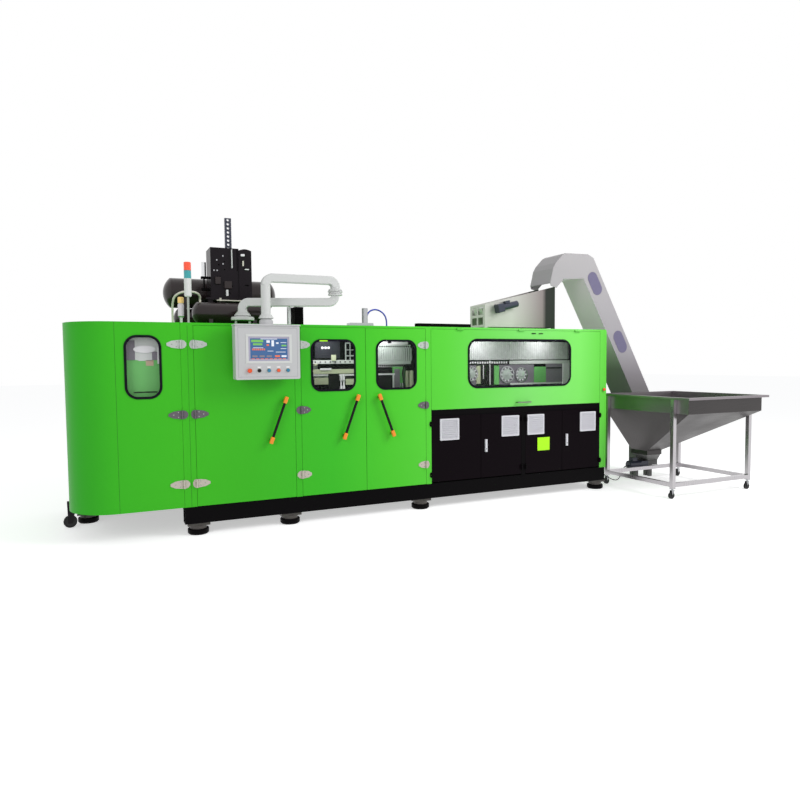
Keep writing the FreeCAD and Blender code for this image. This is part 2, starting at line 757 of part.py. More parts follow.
def dished_tank(x0, x1, y, z, radius, feet):
    """A horizontal air tank with dished ends on saddles."""
    dish = radius * 0.45
    ball = (radius ** 2 + dish ** 2) / (2 * dish)
    angle = math.asin(radius / ball) / 2
    left_mid = V(x0 + ball - ball * math.cos(angle), ball * math.sin(angle), 0)
    right_mid = V(x1 - ball + ball * math.cos(angle), ball * math.sin(angle), 0)
    edges = [
        Part.Arc(V(x0, 0, 0), left_mid, V(x0 + dish, radius, 0)).toShape(),
        Part.LineSegment(V(x0 + dish, radius, 0), V(x1 - dish, radius, 0)).toShape(),
        Part.Arc(V(x1 - dish, radius, 0), right_mid, V(x1, 0, 0)).toShape(),
        Part.LineSegment(V(x1, 0, 0), V(x0, 0, 0)).toShape()]
    profile = Part.Face(Part.Wire(edges))
    tank = profile.revolve(V(0, 0, 0), X_AXIS, 360)
    tank.translate(V(0, y, z))
    for x in (x0 + (x1 - x0) * 0.22, x0 + (x1 - x0) * 0.78):
        for low, half_width in feet:
            saddle = block(x - 20, x + 20, y - half_width, y + half_width, low, z)
            tank = tank.fuse(saddle)
    return tank


def make_roof_equipment():
    """Air tanks, stretch tower, signal tower, filter, drive unit, cylinders and hose."""
    pole = light_pole_top - roof_top
    top = light_body_top - roof_top
    body = turned([(0, 0), (light_pole_radius * 2.4, 0), (light_pole_radius * 2.4, 6), (light_pole_radius, 8),
                   (light_pole_radius, pole), (light_body_radius - 6, pole), (light_body_radius, pole + 10),
                   (light_body_radius, top), (0, top)], tower_light_x, tower_light_y, roof_top)
    export("signal_tower", body)
    lenses = []
    for index in range(2):
        low = light_body_top + index * lens_height
        lenses.append(turned([(0, 0), (light_body_radius, 0), (light_body_radius, lens_height - 5),
                              (light_body_radius - 4, lens_height), (0, lens_height)],
                             tower_light_x, tower_light_y, low))
    export("signal_lenses", *lenses)

    front = dished_tank(*front_tank, tank_radius, ((roof_top, tank_radius * 0.8),))
    lower = dished_tank(*lower_tank, tank_radius, ((roof_top, tank_radius * 0.8),))
    big = dished_tank(*big_tank, big_tank_radius, ())
    for x in (big_tank[0] + 220, big_tank[1] - 220):
        for y in (big_tank[2] - big_tank_radius + 10, big_tank[2] + big_tank_radius - 30):
            big = big.fuse(block(x - 20, x + 20, y, y + 20, roof_top, big_tank[3] - 40))
    export("air_tanks", front, lower, big)

    middle = (tower_left + tower_right) / 2
    plate_edge = tower_right - tower_side_plate
    tower = block(tower_left, plate_edge + 2, tower_front, tower_front + tower_depth, tower_low, tower_top)
    shoulder = tower_top - tower_arch - 2
    side_plate = [(plate_edge, tower_low), (tower_right, tower_low), (tower_right, shoulder)]
    for step in range(1, 6):
        side_plate.append((tower_right - tower_side_plate * step / 6.0,
                           shoulder + tower_arch * math.sin(math.pi * step / 6.0)))
    side_plate.append((plate_edge, shoulder))
    tower = tower.fuse(prism(side_plate, tower_front - 12, tower_front + tower_depth))
    groove = block(middle + 60, middle + 72, tower_front - 20, tower_front + 16,
                   tower_low + tower_height * 0.55, tower_top - 10)
    tower = tower.cut(groove)
    for x, z, radius in ((90, 190, 9), (150, 150, 7), (150, 240, 7), (70, 320, 8),
                         (98, 320, 8), (190, 420, 16), (230, 420, 9), (196, 500, 14)):
        tower = tower.cut(rod((tower_left + x, tower_front - 20, tower_top - z), Y_AXIS, radius, 60))
    for x, z, width, height in ((320, 60, 44, 20), (340, 130, 18, 44),
                                (360, 210, 50, 16), (370, 400, 44, 16)):
        tower = tower.cut(block(tower_left + x, tower_left + x + width, tower_front - 20, tower_front + 20,
                                tower_top - z - height, tower_top - z))
    stand = block(tower_left - 60, tower_right + 60, tower_front - 60, tower_front + tower_depth + 20,
                  tower_low - 24, tower_low)
    for x in (tower_left - 40, tower_right - 10):
        for y in (tower_front - 45, tower_front + tower_depth - 45):
            stand = stand.fuse(block(x, x + 50, y, y + 50, roof_top, tower_low - 24))
    tower = tower.fuse(stand)
    links = []
    for index in range(chain_links):
        low = tower_top + index * chain_pitch
        link = block(chain_left, chain_left + chain_width, tower_front + 150, tower_front + 185,
                     low, low + chain_pitch - 4)
        bore = rod((chain_left + chain_width / 2, tower_front + 140, low + chain_pitch / 2 - 2),
                   Y_AXIS, 14, 60)
        link = link.cut(bore)
        bridge = block(chain_left + 16, chain_left + chain_width - 16, tower_front + 158, tower_front + 177,
                       low - 5, low + 1)
        links.append(link.fuse(bridge) if index else link)
    tie = rod((middle - 180, tower_front - 90, tower_low - 34), X_AXIS, 7, 330)
    hangers = block(middle - 150, middle - 130, tower_front - 97, tower_front - 60,
                    tower_low - 41, tower_low - 8)
    tie = tie.fuse(hangers)
    export("blow_tower", tower, tie, links[0].fuse(links[1:]))

    y = tower_front + 110
    cylinder_x = tower_left - 58
    side = rod((cylinder_x, y, side_cylinder_body), Z_AXIS, side_cylinder_radius, 160)
    side = side.fuse(rod((cylinder_x, y, side_cylinder_low), Z_AXIS, 9,
                         side_cylinder_body - side_cylinder_low + 2))
    for z in (side_cylinder_body - 10, side_cylinder_low):
        side = side.fuse(block(cylinder_x - 32, tower_left, y - 30, y + 30, z - 12, z + 12))
    cut = rod((drive_right - 140, drive_y, roof_top), Z_AXIS, cylinder_radius, 205)
    plate = block(plate_left, plate_right, 230, 330, roof_top, roof_top + 45)
    plate = soften(plate, 10, Y_AXIS)
    post = rod((post_x, 270, roof_top + 44), Z_AXIS, 34, 170)
    cut = cut.fuse(rod((drive_right - 140, drive_y, roof_top + 204), Z_AXIS, 10, 20))

    drive = soften(block(drive_left + 70, drive_right, drive_y - 70, drive_y + 70, roof_top, roof_top + 205),
                   10, Z_AXIS)
    pitch = 22.0
    for index in range(8):
        z = roof_top + 20 + index * pitch
        groove = block(drive_left + 60, drive_right + 10, drive_y - 80, drive_y - 58, z, z + pitch * 0.45)
        drive = drive.cut(groove)
    export("roof_actuators", side, cut, plate.fuse(post), drive)

    bowl = turned([(0, 0), (22, 0), (filter_bowl_radius, 14), (filter_bowl_radius, 128), (26, 134), (26, 140),
                   (30, 144), (30, 196), (24, 204), (0, 204)], filter_x, filter_y, roof_top + 62)
    bowl = bowl.fuse(rod((filter_x, filter_y, roof_top), Z_AXIS, 14, 64))
    pipe = bent_tube(filter_pipe_points, filter_pipe_radius, "filter pipe")
    export("air_filter", bowl, pipe)
    export("blue_hose", bent_tube(hose_points, hose_radius, "blue hose"))


def tube_elbow(x, y, level, heading, upwards):
    """A bend from a vertical post into a horizontal arm tube."""
    half = arm_tube / 2
    square = soften(block(-half, half, -half, half, -1, 1), 14.0, Z_AXIS)
    face = None
    for candidate in square.Faces:
        if abs(candidate.CenterOfMass.z - 1) < 0.01 and candidate.Area > arm_tube:
            face = candidate
    face.translate(V(0, 0, -1))
    bend = face.revolve(V(arm_bend, 0, 0), Y_AXIS, 90 if upwards else -90)
    if upwards:
        bend.translate(V(0, 0, level - arm_bend))
    else:
        bend.translate(V(0, 0, level + arm_bend))
    bend.rotate(V(0, 0, 0), Z_AXIS, heading)
    bend.translate(V(x, y, 0))
    return bend


def arm_tube_between(x0, y0, x1, y1, level):
    """A horizontal rounded square tube, stopping short of both bends."""
    length = math.hypot(x1 - x0, y1 - y0)
    half = arm_tube / 2
    tube = soften(block(arm_bend, length - arm_bend, -half, half, level - half, level + half), 14.0, X_AXIS)
    tube.rotate(V(0, 0, 0), Z_AXIS, math.degrees(math.atan2(y1 - y0, x1 - x0)))
    tube.translate(V(x0, y0, 0))
    return tube


def make_operator_panel():
    """Arm base, two arms and the panel with its screen and buttons."""
    ring_low = roof_top + 42
    ring = turned([(0, 0), (arm_ring, 0), (arm_ring, 26), (arm_ring - 8, 34), (60, 34), (60, 40), (0, 40)],
                  arm_base_x, arm_base_y, ring_low)
    for dx in (-70, 70):
        ring = ring.fuse(rod((arm_base_x + dx, arm_base_y, roof_top), Z_AXIS, 12, 44))
    ring = ring.cut(rod((arm_base_x, arm_base_y, ring_low + 10), Z_AXIS, 25 + pin_clearance, 40))
    export("arm_base", ring)

    heading = math.degrees(math.atan2(elbow_y - arm_base_y, elbow_x - arm_base_x))
    gap = 0.5
    seat = ring_low + 40 + gap
    lower = turned([(0, -28), (25, -28), (25, 0), (62, 0), (70, 12), (70, 26), (48, 40),
                    (48, lower_tube_level - arm_bend - seat), (0, lower_tube_level - arm_bend - seat)],
                   arm_base_x, arm_base_y, seat)
    lower = lower.fuse([tube_elbow(arm_base_x, arm_base_y, lower_tube_level, heading, True),
                        arm_tube_between(arm_base_x, arm_base_y, elbow_x, elbow_y, lower_tube_level),
                        tube_elbow(elbow_x, elbow_y, lower_tube_level, heading + 180, False)])
    joint_low = lower_tube_level + arm_bend
    rotary = turned([(25 + pin_clearance, 0), (66, 0), (66, 30), (60, 34), (25 + pin_clearance, 34)],
                    elbow_x, elbow_y, joint_low)
    lower = lower.fuse(rotary)
    export("lower_arm", lower)

    back = math.degrees(math.atan2(drop_y - elbow_y, drop_x - elbow_x))
    seat = joint_low + 34 + gap
    upper = turned([(0, -33), (25, -33), (25, 0), (66, 0), (66, 30), (50, 40),
                    (50, upper_tube_level - arm_bend - seat), (0, upper_tube_level - arm_bend - seat)],
                   elbow_x, elbow_y, seat)
    upper = upper.fuse([tube_elbow(elbow_x, elbow_y, upper_tube_level, back, True),
                        arm_tube_between(elbow_x, elbow_y, drop_x, drop_y, upper_tube_level),
                        tube_elbow(drop_x, drop_y, upper_tube_level, back + 180, True)])
    collar_top = panel_high + 70
    drop_top = upper_tube_level - arm_bend
    fall = drop_top - collar_top
    drop = turned([(0, 0), (drop_radius + 20, 0), (drop_radius + 20, 14), (drop_radius, 44),
                   (drop_radius, fall), (0, fall)], drop_x, drop_y, collar_top)
    drop = drop.cut(rod((drop_x, drop_y, collar_top - 1), Z_AXIS, 25 + pin_clearance, 31))
    export("upper_arm", upper.fuse(drop))

    left = drop_x - panel_width / 2 - 4
    right = left + panel_width
    low = panel_high - panel_height
    front = drop_y - panel_depth / 2 - 10
    back_y = front + panel_depth
    housing = soften(block(left, right, front, back_y, low, panel_high), 16.0, Y_AXIS)
    lip = block(left - 6, right + 6, front - 12, back_y, panel_high - 4, panel_high + 10)
    housing = housing.fuse(lip)
    screen_left = left + panel_width * 0.19
    screen_low = low + panel_height * 0.335
    housing = housing.cut(block(screen_left, screen_left + screen_width, front - 1, front + 12,
                                screen_low, screen_low + screen_height))
    rise = collar_top - gap - panel_high
    neck = turned([(0, 0), (drop_radius + 20, 0), (drop_radius + 20, 40), (drop_radius, rise - 10),
                   (25, rise - 10), (25, rise + 16), (0, rise + 16)], drop_x, drop_y, panel_high + 10)
    housing = housing.fuse(neck)
    button_z = low + panel_height * 0.165
    first = left + panel_width * 0.206
    spots = [first + index * button_spread for index in range(5)]
    for x in spots:
        housing = housing.cut(rod((x, front - 1, button_z), Y_AXIS, 9.0, 30))
    export("panel_housing", housing)
    export("panel_screen", block(screen_left + 1, screen_left + screen_width - 1, front + 2, front + 12,
                                 screen_low + 1, screen_low + screen_height - 1))
    caps = []
    for index, x in enumerate(spots):
        radius = button_radius + (5 if index == 0 else 0)
        height = 20 if index == 0 else 12
        cap = turned([(0, 0), (radius, 0), (radius, height - 4), (radius - 4, height), (0, height)], 0, 0, 0)
        cap = cap.fuse(rod((0, 0, -26), Z_AXIS, 9.0 - pin_clearance, 28))
        cap.rotate(V(0, 0, 0), X_AXIS, 90)
        cap.translate(V(x, front - button_travel - 2.0, button_z))
        caps.append(cap)
    export("panel_stop_button", caps[0])
    export("panel_pushbuttons", *caps[1:])


def make_blow_station():
    """Clamp frame with tie bars, two mould platens, the stretch carriage and the transfer shuttle."""
    centre = (clamp_left + clamp_right) / 2
    middle_y = (clamp_front + clamp_back) / 2
    tie_spots = [(x, z) for x in (clamp_left + 70, clamp_right - 70)
                 for z in (clamp_low + 80, clamp_high - 80)]
    frame = []
    for y in (clamp_front, clamp_back - end_plate):
        plate = soften(block(clamp_left, clamp_right, y, y + end_plate, clamp_low, clamp_high), 20.0, Y_AXIS)
        plate = plate.cut(soften(block(clamp_left + 160, clamp_right - 160, y - 1, y + end_plate + 1,
                                       clamp_low + 160, clamp_high - 160), 30.0, Y_AXIS))
        frame.append(plate)
    ties = [rod((x, clamp_front + end_plate, z), Y_AXIS, tie_radius,
                clamp_back - clamp_front - 2 * end_plate) for x, z in tie_spots]
    columns = []
    for x in (clamp_left + 30, clamp_right - 30):
        columns.append(rod((x, middle_y, clamp_high + 6), Z_AXIS, 25.0, panel_top - clamp_high - 6))
    bridge = block(clamp_left, clamp_right, clamp_front + end_plate, clamp_back - end_plate,
                   clamp_high - 34, clamp_high)
    bridge = bridge.cut(block(clamp_left + 60, clamp_right - 60, clamp_front + end_plate - 1,
                              clamp_back - end_plate + 1, clamp_high - 40, clamp_high + 1))
    bearers = [piece for piece in bridge.Solids]
    pads = [block(x - 30, x + 30, middle_y - 30, middle_y + 30, clamp_high, clamp_high + 6)
            for x in (clamp_left + 30, clamp_right - 30)]
    export("clamp_frame", *(frame + ties + columns + bearers + pads))

    for name, sign in (("front_mould", -1), ("rear_mould", 1)):
        face = middle_y + sign * mould_gap / 2
        block_back = face + sign * mould_depth
        platen_back = block_back + sign * platen
        base = soften(block(clamp_left + 20, clamp_right - 20, min(block_back, platen_back),
                            max(block_back, platen_back), clamp_low + 20, clamp_high - 40), 15.0, Y_AXIS)
        for x, z in tie_spots:
            base = base.cut(rod((x, min(block_back, platen_back) - 1, z), Y_AXIS, tie_radius + tie_clearance,
                                platen + 2))
        mould = block(centre - mould_width / 2, centre + mould_width / 2, min(face, block_back),
                      max(face, block_back), mould_low, mould_high)
        pitch = mould_width / cavity_count
        for index in range(cavity_count):
            x = centre - mould_width / 2 + pitch * (index + 0.5)
            bottle = turned([(0, 30), (cavity_radius - 8, 30), (cavity_radius, 42), (cavity_radius, 200),
                             (cavity_radius - 5, 215), (cavity_radius, 230), (cavity_radius, 300),
                             (16, 370), (16, 460), (0, 460)], x, face, mould_low)
            mould = mould.cut(bottle)
        export(name, base.fuse(mould))

    cross = soften(block(clamp_left + 2, clamp_right - 2, middle_y - 60, middle_y + 60, stretch_level,
                         stretch_level + 50), 10.0, Z_AXIS)
    for x in (clamp_left + 30, clamp_right - 30):
        cross = cross.cut(rod((x, middle_y, stretch_level - 1), Z_AXIS, 25.0 + tie_clearance, 60))
    for index in range(cavity_count):
        x = centre - mould_width / 2 + mould_width / cavity_count * (index + 0.5)
        cross = cross.fuse(rod((x, middle_y, stretch_level - 60), Z_AXIS, 20, 62))
        cross = cross.fuse(rod((x, middle_y, mould_high + 40), Z_AXIS, 7, stretch_level - mould_high - 98))
    export("stretch_carriage", cross)

    rail_end = post_3[1] - 20
    rail = block(clamp_right + 40, rail_end, shuttle_rail_y - 15, shuttle_rail_y + 15,
                 shuttle_rail_z - 30, shuttle_rail_z + 30)
    supports = [block(x, x + 60, shuttle_rail_y - 30, shuttle_rail_y + 30, table_top, shuttle_rail_z - 30)
                for x in (clamp_right + 60, rail_end - 80)]
    left, right = heat_shield_x
    ribs = block(left, right, heat_shield_y, heat_shield_y + 8, table_top, heat_shield_high)
    rib_pitch = (right - left - 20) / 20.0
    hole_pitch = (right - left) / 10.0
    for index in range(20):
        x = left + 10 + index * rib_pitch
        ribs = ribs.fuse(block(x, x + rib_pitch / 2, heat_shield_y - 12, heat_shield_y + 1,
                               table_top + 78, heat_shield_high - 40))
    for index in range(10):
        for z in (table_top + 38, heat_shield_high - 18):
            ribs = ribs.cut(rod((left + (index + 0.5) * hole_pitch, heat_shield_y - 20, z), Y_AXIS, 9, 40))
    export("transfer_rail", rail, ribs, *supports)
    shuttle_left = clamp_right + 160
    low = shuttle_rail_z + 30 + 0.4
    shuttle = block(shuttle_left, shuttle_left + 560, shuttle_rail_y - 40, shuttle_rail_y + 40, low, low + 24)
    for index in range(cavity_count):
        x = shuttle_left + 70 + index * mould_width / cavity_count
        shuttle = shuttle.fuse(block(x - 18, x + 18, shuttle_rail_y + 20, shuttle_rail_y + 130,
                                     low + 20, low + 46))
        jaw = block(x - 18, x + 18, shuttle_rail_y + 95, shuttle_rail_y + 131, low + 10, low + 50)
        shuttle = shuttle.fuse(jaw).cut(rod((x, shuttle_rail_y + 131, low), Z_AXIS, 14, 60))
    for x in (shuttle_left + 90, shuttle_left + 390):
        drive = block(x, x + 80, shuttle_rail_y - 34, shuttle_rail_y + 34, low + 22, low + 120)
        shuttle = shuttle.fuse(soften(drive, 12, Z_AXIS))
    for dy in (-40, 15.4):
        shuttle = shuttle.fuse(block(shuttle_left + 20, shuttle_left + 540, shuttle_rail_y + dy,
                                     shuttle_rail_y + dy + 24.6, low - 40, low + 1))
    export("transfer_shuttle", shuttle)


def make_oven():
    """The preform chain round its two wheels, and the lamp bank."""
    outer, inner = sprocket_radius + chain_band, sprocket_radius + 0.3

    def loop(radius):
        """A stadium plan round both wheels."""
        left, right = drive_sprocket_x, idler_sprocket_x
        edges = [
            Part.LineSegment(V(left, chain_y - radius, 0), V(right, chain_y - radius, 0)).toShape(),
            Part.Arc(V(right, chain_y - radius, 0), V(right + radius, chain_y, 0),
                     V(right, chain_y + radius, 0)).toShape(),
            Part.LineSegment(V(right, chain_y + radius, 0), V(left, chain_y + radius, 0)).toShape(),
            Part.Arc(V(left, chain_y + radius, 0), V(left - radius, chain_y, 0),
                     V(left, chain_y - radius, 0)).toShape()]
        return Part.Wire(edges)
    def ring(outside, inside, low, height):
        """The stadium between two radii, from a level up."""
        body = Part.Face(loop(outside)).extrude(V(0, 0, height))
        body = body.cut(Part.Face(loop(inside)).extrude(V(0, 0, height)))
        body.translate(V(0, 0, low))
        return body

    # the spots run round the loop: a holder, the gap between two links, the next holder
    spots = loop((outer + inner) / 2).discretize(Number=2 * holder_count + 1)[:-1]
    gaps = []
    for index in range(1, 2 * holder_count, 2):
        along = spots[(index + 1) % (2 * holder_count)] - spots[index - 1]
        gap = Part.makeBox(link_gap, 2 * chain_band, chain_band + 2, V(-link_gap / 2, -chain_band, -1))
        gap.rotate(V(0, 0, 0), Z_AXIS, math.degrees(math.atan2(along.y, along.x)))
        gap.translate(spots[index] + V(0, 0, chain_level))
        gaps.append(gap)
    bars = ring(outer, inner, chain_level, chain_band).cut(gaps).Solids
    links = []
    for spot in spots[::2]:
        bar = min(bars, key=lambda solid: (solid.CenterOfMass - spot).Length)
        collar = [V(holder_radius, 0, 0)]
        for index in range(1, 6):
            turn = math.radians(60 * index)
            collar.append(V(holder_radius * math.cos(turn), holder_radius * math.sin(turn), 0))
        nut = Part.Face(Part.makePolygon(collar + collar[:1])).extrude(V(0, 0, 30))
        nut.translate(spot + V(0, 0, chain_level + chain_band - 1))
        pin = rod((spot.x, spot.y, chain_level + chain_band - 1), Z_AXIS, holder_radius * 0.6, holder_height)
        links.append(bar.fuse([nut, pin]))

    track_low = chain_level - track_gap - track_height
    track = ring(outer + track_flange, inner - 4, track_low, track_height)
    for x in (drive_sprocket_x, idler_sprocket_x):
        reach = outer + track_flange + 10
        track = track.cut(block(x - track_gap / 2, x + track_gap / 2, chain_y - reach, chain_y + reach,
                                track_low - 1, track_low + track_height + 1))
    stand_line = sprocket_radius + chain_band / 2
    stand_spots = [(drive_sprocket_x - stand_line, chain_y), (idler_sprocket_x + stand_line, chain_y)]
    for x in (drive_sprocket_x + 260, (drive_sprocket_x + idler_sprocket_x) / 2, idler_sprocket_x - 260):
        stand_spots += [(x, chain_y - stand_line), (x, chain_y + stand_line)]
    rails = []
    for rail in track.Solids:
        for x, y in stand_spots:
            if rail.BoundBox.isInside(V(x, y, track_low + track_height / 2)):
                rail = rail.fuse(block(x - 20, x + 20, y - 12, y + 12, table_top, track_low + 0.1))
        rails.append(rail)
    export("preform_chain", *(links + rails))

    for name, x in (("drive_wheel", drive_sprocket_x), ("idler_wheel", idler_sprocket_x)):
        rim_top = chain_level + chain_band - 1 - holder_clearance
        foot = table_top + 0.4
        wheel = turned([(0, foot), (60, foot), (60, table_top + 40), (34, table_top + 50),
                        (34, chain_level + 1), (sprocket_radius, chain_level + 1), (sprocket_radius, rim_top),
                        (70, rim_top), (70, chain_level + 70), (0, chain_level + 70)], x, chain_y, 0)
        for index in range(6):
            angle = math.radians(60 * index)
            spot = (x + 130 * math.cos(angle), chain_y + 130 * math.sin(angle), chain_level - 5)
            wheel = wheel.cut(rod(spot, Z_AXIS, 42, 60))
        export(name, wheel)

    left, right = drive_sprocket_x + 140, idler_sprocket_x - 140
    y = chain_y + sprocket_radius + 130
    back = block(left, right, y + 60, y + 100, chain_level + 40, lamp_bank_high)
    for x in (left + 60, right - 100):
        back = back.fuse(block(x, x + 40, y + 62, y + 98, table_top, chain_level + 41))
    for x in (left, right - 20):
        back = back.fuse(block(x, x + 20, y - 10, y + 61, chain_level + 40, lamp_bank_high))
    lamps = [rod((left + 20, y + 20, chain_level + 90 + index * 70), X_AXIS, 8, right - left - 40)
             for index in range(8)]
    hood = soften(block(left - 60, right + 60, chain_y - hood_half_depth, chain_y + hood_half_depth,
                        hood_low, lamp_bank_high), 30, X_AXIS)
    hanger = [block(x, x + 40, chain_y - 30, chain_y + 30, lamp_bank_high, panel_top)
              for x in (left, right - 40)]
    export("oven_lamps", back, hood, *(lamps + hanger))


def make_unscrambler():
    """The sloping trough on the roof with two counter-turning rollers and its gearmotor."""
    slope = (trough_high_end - trough_low_end) / (trough_right - trough_left)
    angle = math.degrees(math.atan(slope))
    side = [(trough_left, roof_top + 40), (trough_right, roof_top + 40), (trough_right, trough_high_end),
            (trough_left, trough_low_end)]
    walls = []
    for y in (trough_front, trough_back - trough_wall):
        walls.append(prism(side, y, y + trough_wall))
    low_end = block(trough_left, trough_left + trough_wall, trough_front, trough_back,
                    roof_top + 40, trough_low_end)
    for y in (trough_front + 50, trough_front + 200):
        for z in (roof_top + 70, roof_top + 200):
            low_end = low_end.cut(block(trough_left - 1, trough_left + 10, y, y + 115, z, z + 95))
    high_end = block(trough_right - trough_wall, trough_right, trough_front, trough_back, roof_top + 40,
                     trough_high_end - 150)
    trough = walls[0].fuse([walls[1], low_end, high_end])
    for x in (trough_left, trough_right - 40):
        for y in (trough_front, trough_back - 40):
            trough = trough.fuse(block(x, x + 40, y, y + 40, roof_top, roof_top + 60))
    centre_y = (trough_front + trough_back) / 2
    axis = V(math.cos(math.radians(angle)), 0, math.sin(math.radians(angle)))
    drop = 90.0
    start_x = trough_left + 30
    length = (trough_right - trough_left - 90) / axis.x
    rollers = {}
    for name, y in (("front_roller", centre_y - roller_radius - roller_gap),
                    ("rear_roller", centre_y + roller_radius + roller_gap)):
        start = V(start_x, y, trough_low_end - drop + 30 * slope)
        roller = Part.makeCylinder(roller_radius, length, start, axis)
        stub = Part.makeCylinder(12, length + 40, start - axis * 20, axis)
        rollers[name] = roller.fuse(stub)
        hole = Part.makeCylinder(12 + pin_clearance, length + 60, start - axis * 30, axis)
        for offset in (-16, length + 4):
            at = start + axis * offset
            block_shape = Part.makeBox(12, 2 * roller_radius, 2 * roller_radius,
                                       V(0, -roller_radius, -roller_radius))
            block_shape.rotate(V(0, 0, 0), Y_AXIS, -angle)
            block_shape.translate(at)
            trough = trough.fuse(block_shape)
        trough = trough.cut(hole)
    bars = []
    for offset in (-16, length + 4):
        at = V(start_x, centre_y, trough_low_end - drop + 30 * slope) + axis * offset
        span = trough_back - trough_front
        bar = Part.makeBox(12, span, 30, V(0, -span / 2, -roller_radius - 30))
        bar.rotate(V(0, 0, 0), Y_AXIS, -angle)
        bar.translate(at)
        bars.append(bar)
    trough = trough.fuse(bars)
    export("unscrambler_trough", trough)
    for name, shape in rollers.items():
        export(name, shape)

    motor = Part.makeCylinder(42, 230, V(0, 0, 0), X_AXIS)
    motor = motor.fuse(soften(block(-90, 0, -50, 50, -55, 55), 12, X_AXIS))
    motor = motor.fuse(block(40, 110, -30, 30, 36, 70))
    motor.rotate(V(0, 0, 0), Y_AXIS, -angle)
    motor.translate(V(trough_left + 230, trough_front - 58, trough_low_end - 40))
    foot = block(trough_left + 150, trough_left + 250, trough_front - 30, trough_front, trough_low_end - 90,
                 trough_low_end - 10)
    return motor.fuse(foot)


def make_elevator(feed_chute):
    """The leaning casing with its head, spout and tail, and two oval windows."""
    lean = 0.5676

    def left_edge(z):
        """X of the incline's left side at a height."""
        return cabinet_length + 859.0 - (z - 1286.0) * lean

    def right_edge(z):
        """X of the incline's right side at a height."""
        return cabinet_length + 1198.0 - (z - 1277.0) * lean
    x, top = cabinet_length, elevator_top
    head = [
        (left_edge(top - 334), top - 334), (x - 378, top - 359), (x - 498, top - 479), (x - 587, top - 457),
        (x - 602, top - 413), (x - 571, top - 297), (x - 555, top - 220), (x - 510, top - 147),
        (x - 397, top - 32), (x - 352, top - 8), (x + 37, top), (right_edge(top - 44), top - 44)]
    incline_end = [(right_edge(560), 560), (x + 1300, 430), (x + 1300, 525), (left_edge(600), 600)]
    tail = [(right_edge(560), 560), (x + 1300, 430), (x + 1300, 180), (x + 960, 180), (x + 960, 470),
            (left_edge(600), 600)]
    outer, hollow = [], []
    for low_end, depth in ((incline_end, elevator_back - elevator_front), (tail, tail_depth)):
        outer.append(prism(head + low_end, elevator_front, elevator_front + depth))
        points = [V(px, 0, pz) for px, pz in head + low_end + head[:1]]
        inner_wire = Part.makePolygon(points).makeOffset2D(-elevator_wall)
        space = Part.Face(inner_wire).extrude(V(0, depth - 2 * elevator_wall, 0))
        space.translate(V(0, elevator_front + elevator_wall, 0))
        hollow.append(space)
    casing = outer[0].fuse(outer[1]).removeSplitter().cut(hollow)
    mouth = prism([(x - 610, top - 494), (x - 485, top - 494), (x - 400, top - 379), (x - 590, top - 379)],
                  elevator_front + 10, elevator_back - 10)
    casing = casing.cut(mouth)
    wall = elevator_wall
    boot = block(boot_x[0], boot_x[1], boot_front, elevator_front + wall / 2, boot_low, boot_top)
    pocket = block(boot_x[0] + wall, boot_x[1] - wall, boot_front + wall, elevator_front + 2 * wall,
                   boot_low + wall, boot_top + 1)
    casing = casing.fuse(boot).cut(pocket)
    panes = []
    for cx, cz in oval_windows:
        half, tall, gap = oval_width / 2, oval_height / 2, oval_clearance
        oval = rounded_plate(-half, half, -tall, tall, elevator_front - 1, elevator_front + elevator_wall + 1,
                             half - 1)
        pane = rounded_plate(gap - half, half - gap, gap - tall, tall - gap, elevator_front,
                             elevator_front + elevator_wall, half - gap - 1)
        for shape in (oval, pane):
            shape.rotate(V(0, 0, 0), Y_AXIS, -math.degrees(math.atan(lean)))
            shape.translate(V(x + cx, 0, cz))
        casing = casing.cut(oval)
        panes.append(pane)
    feet = [tube_along("z", x + px, x + px + 50, py, py + 50, 0, 180, 3.0)
            for px in (970, 1240) for py in (elevator_front + 10, elevator_front + tail_depth - 60)]
    export("elevator_casing", casing, feed_chute, *(feet + panes))

    reach = elevator_front - 68.0
    motor = rod((x + 750, reach, 222), X_AXIS, 55, 205)
    motor = motor.fuse(rod((x + 742, reach, 222), X_AXIS, 46, 12))
    motor = motor.fuse(soften(block(x + 950, x + 1080, reach - 52, elevator_front, 158, 262), 14, Y_AXIS))
    motor = motor.fuse(block(x + 800, x + 890, reach - 32, reach + 32, 270, 316))
    motor = motor.fuse(rod((x + 728, reach, 200), X_AXIS, 10, 20))
    return motor


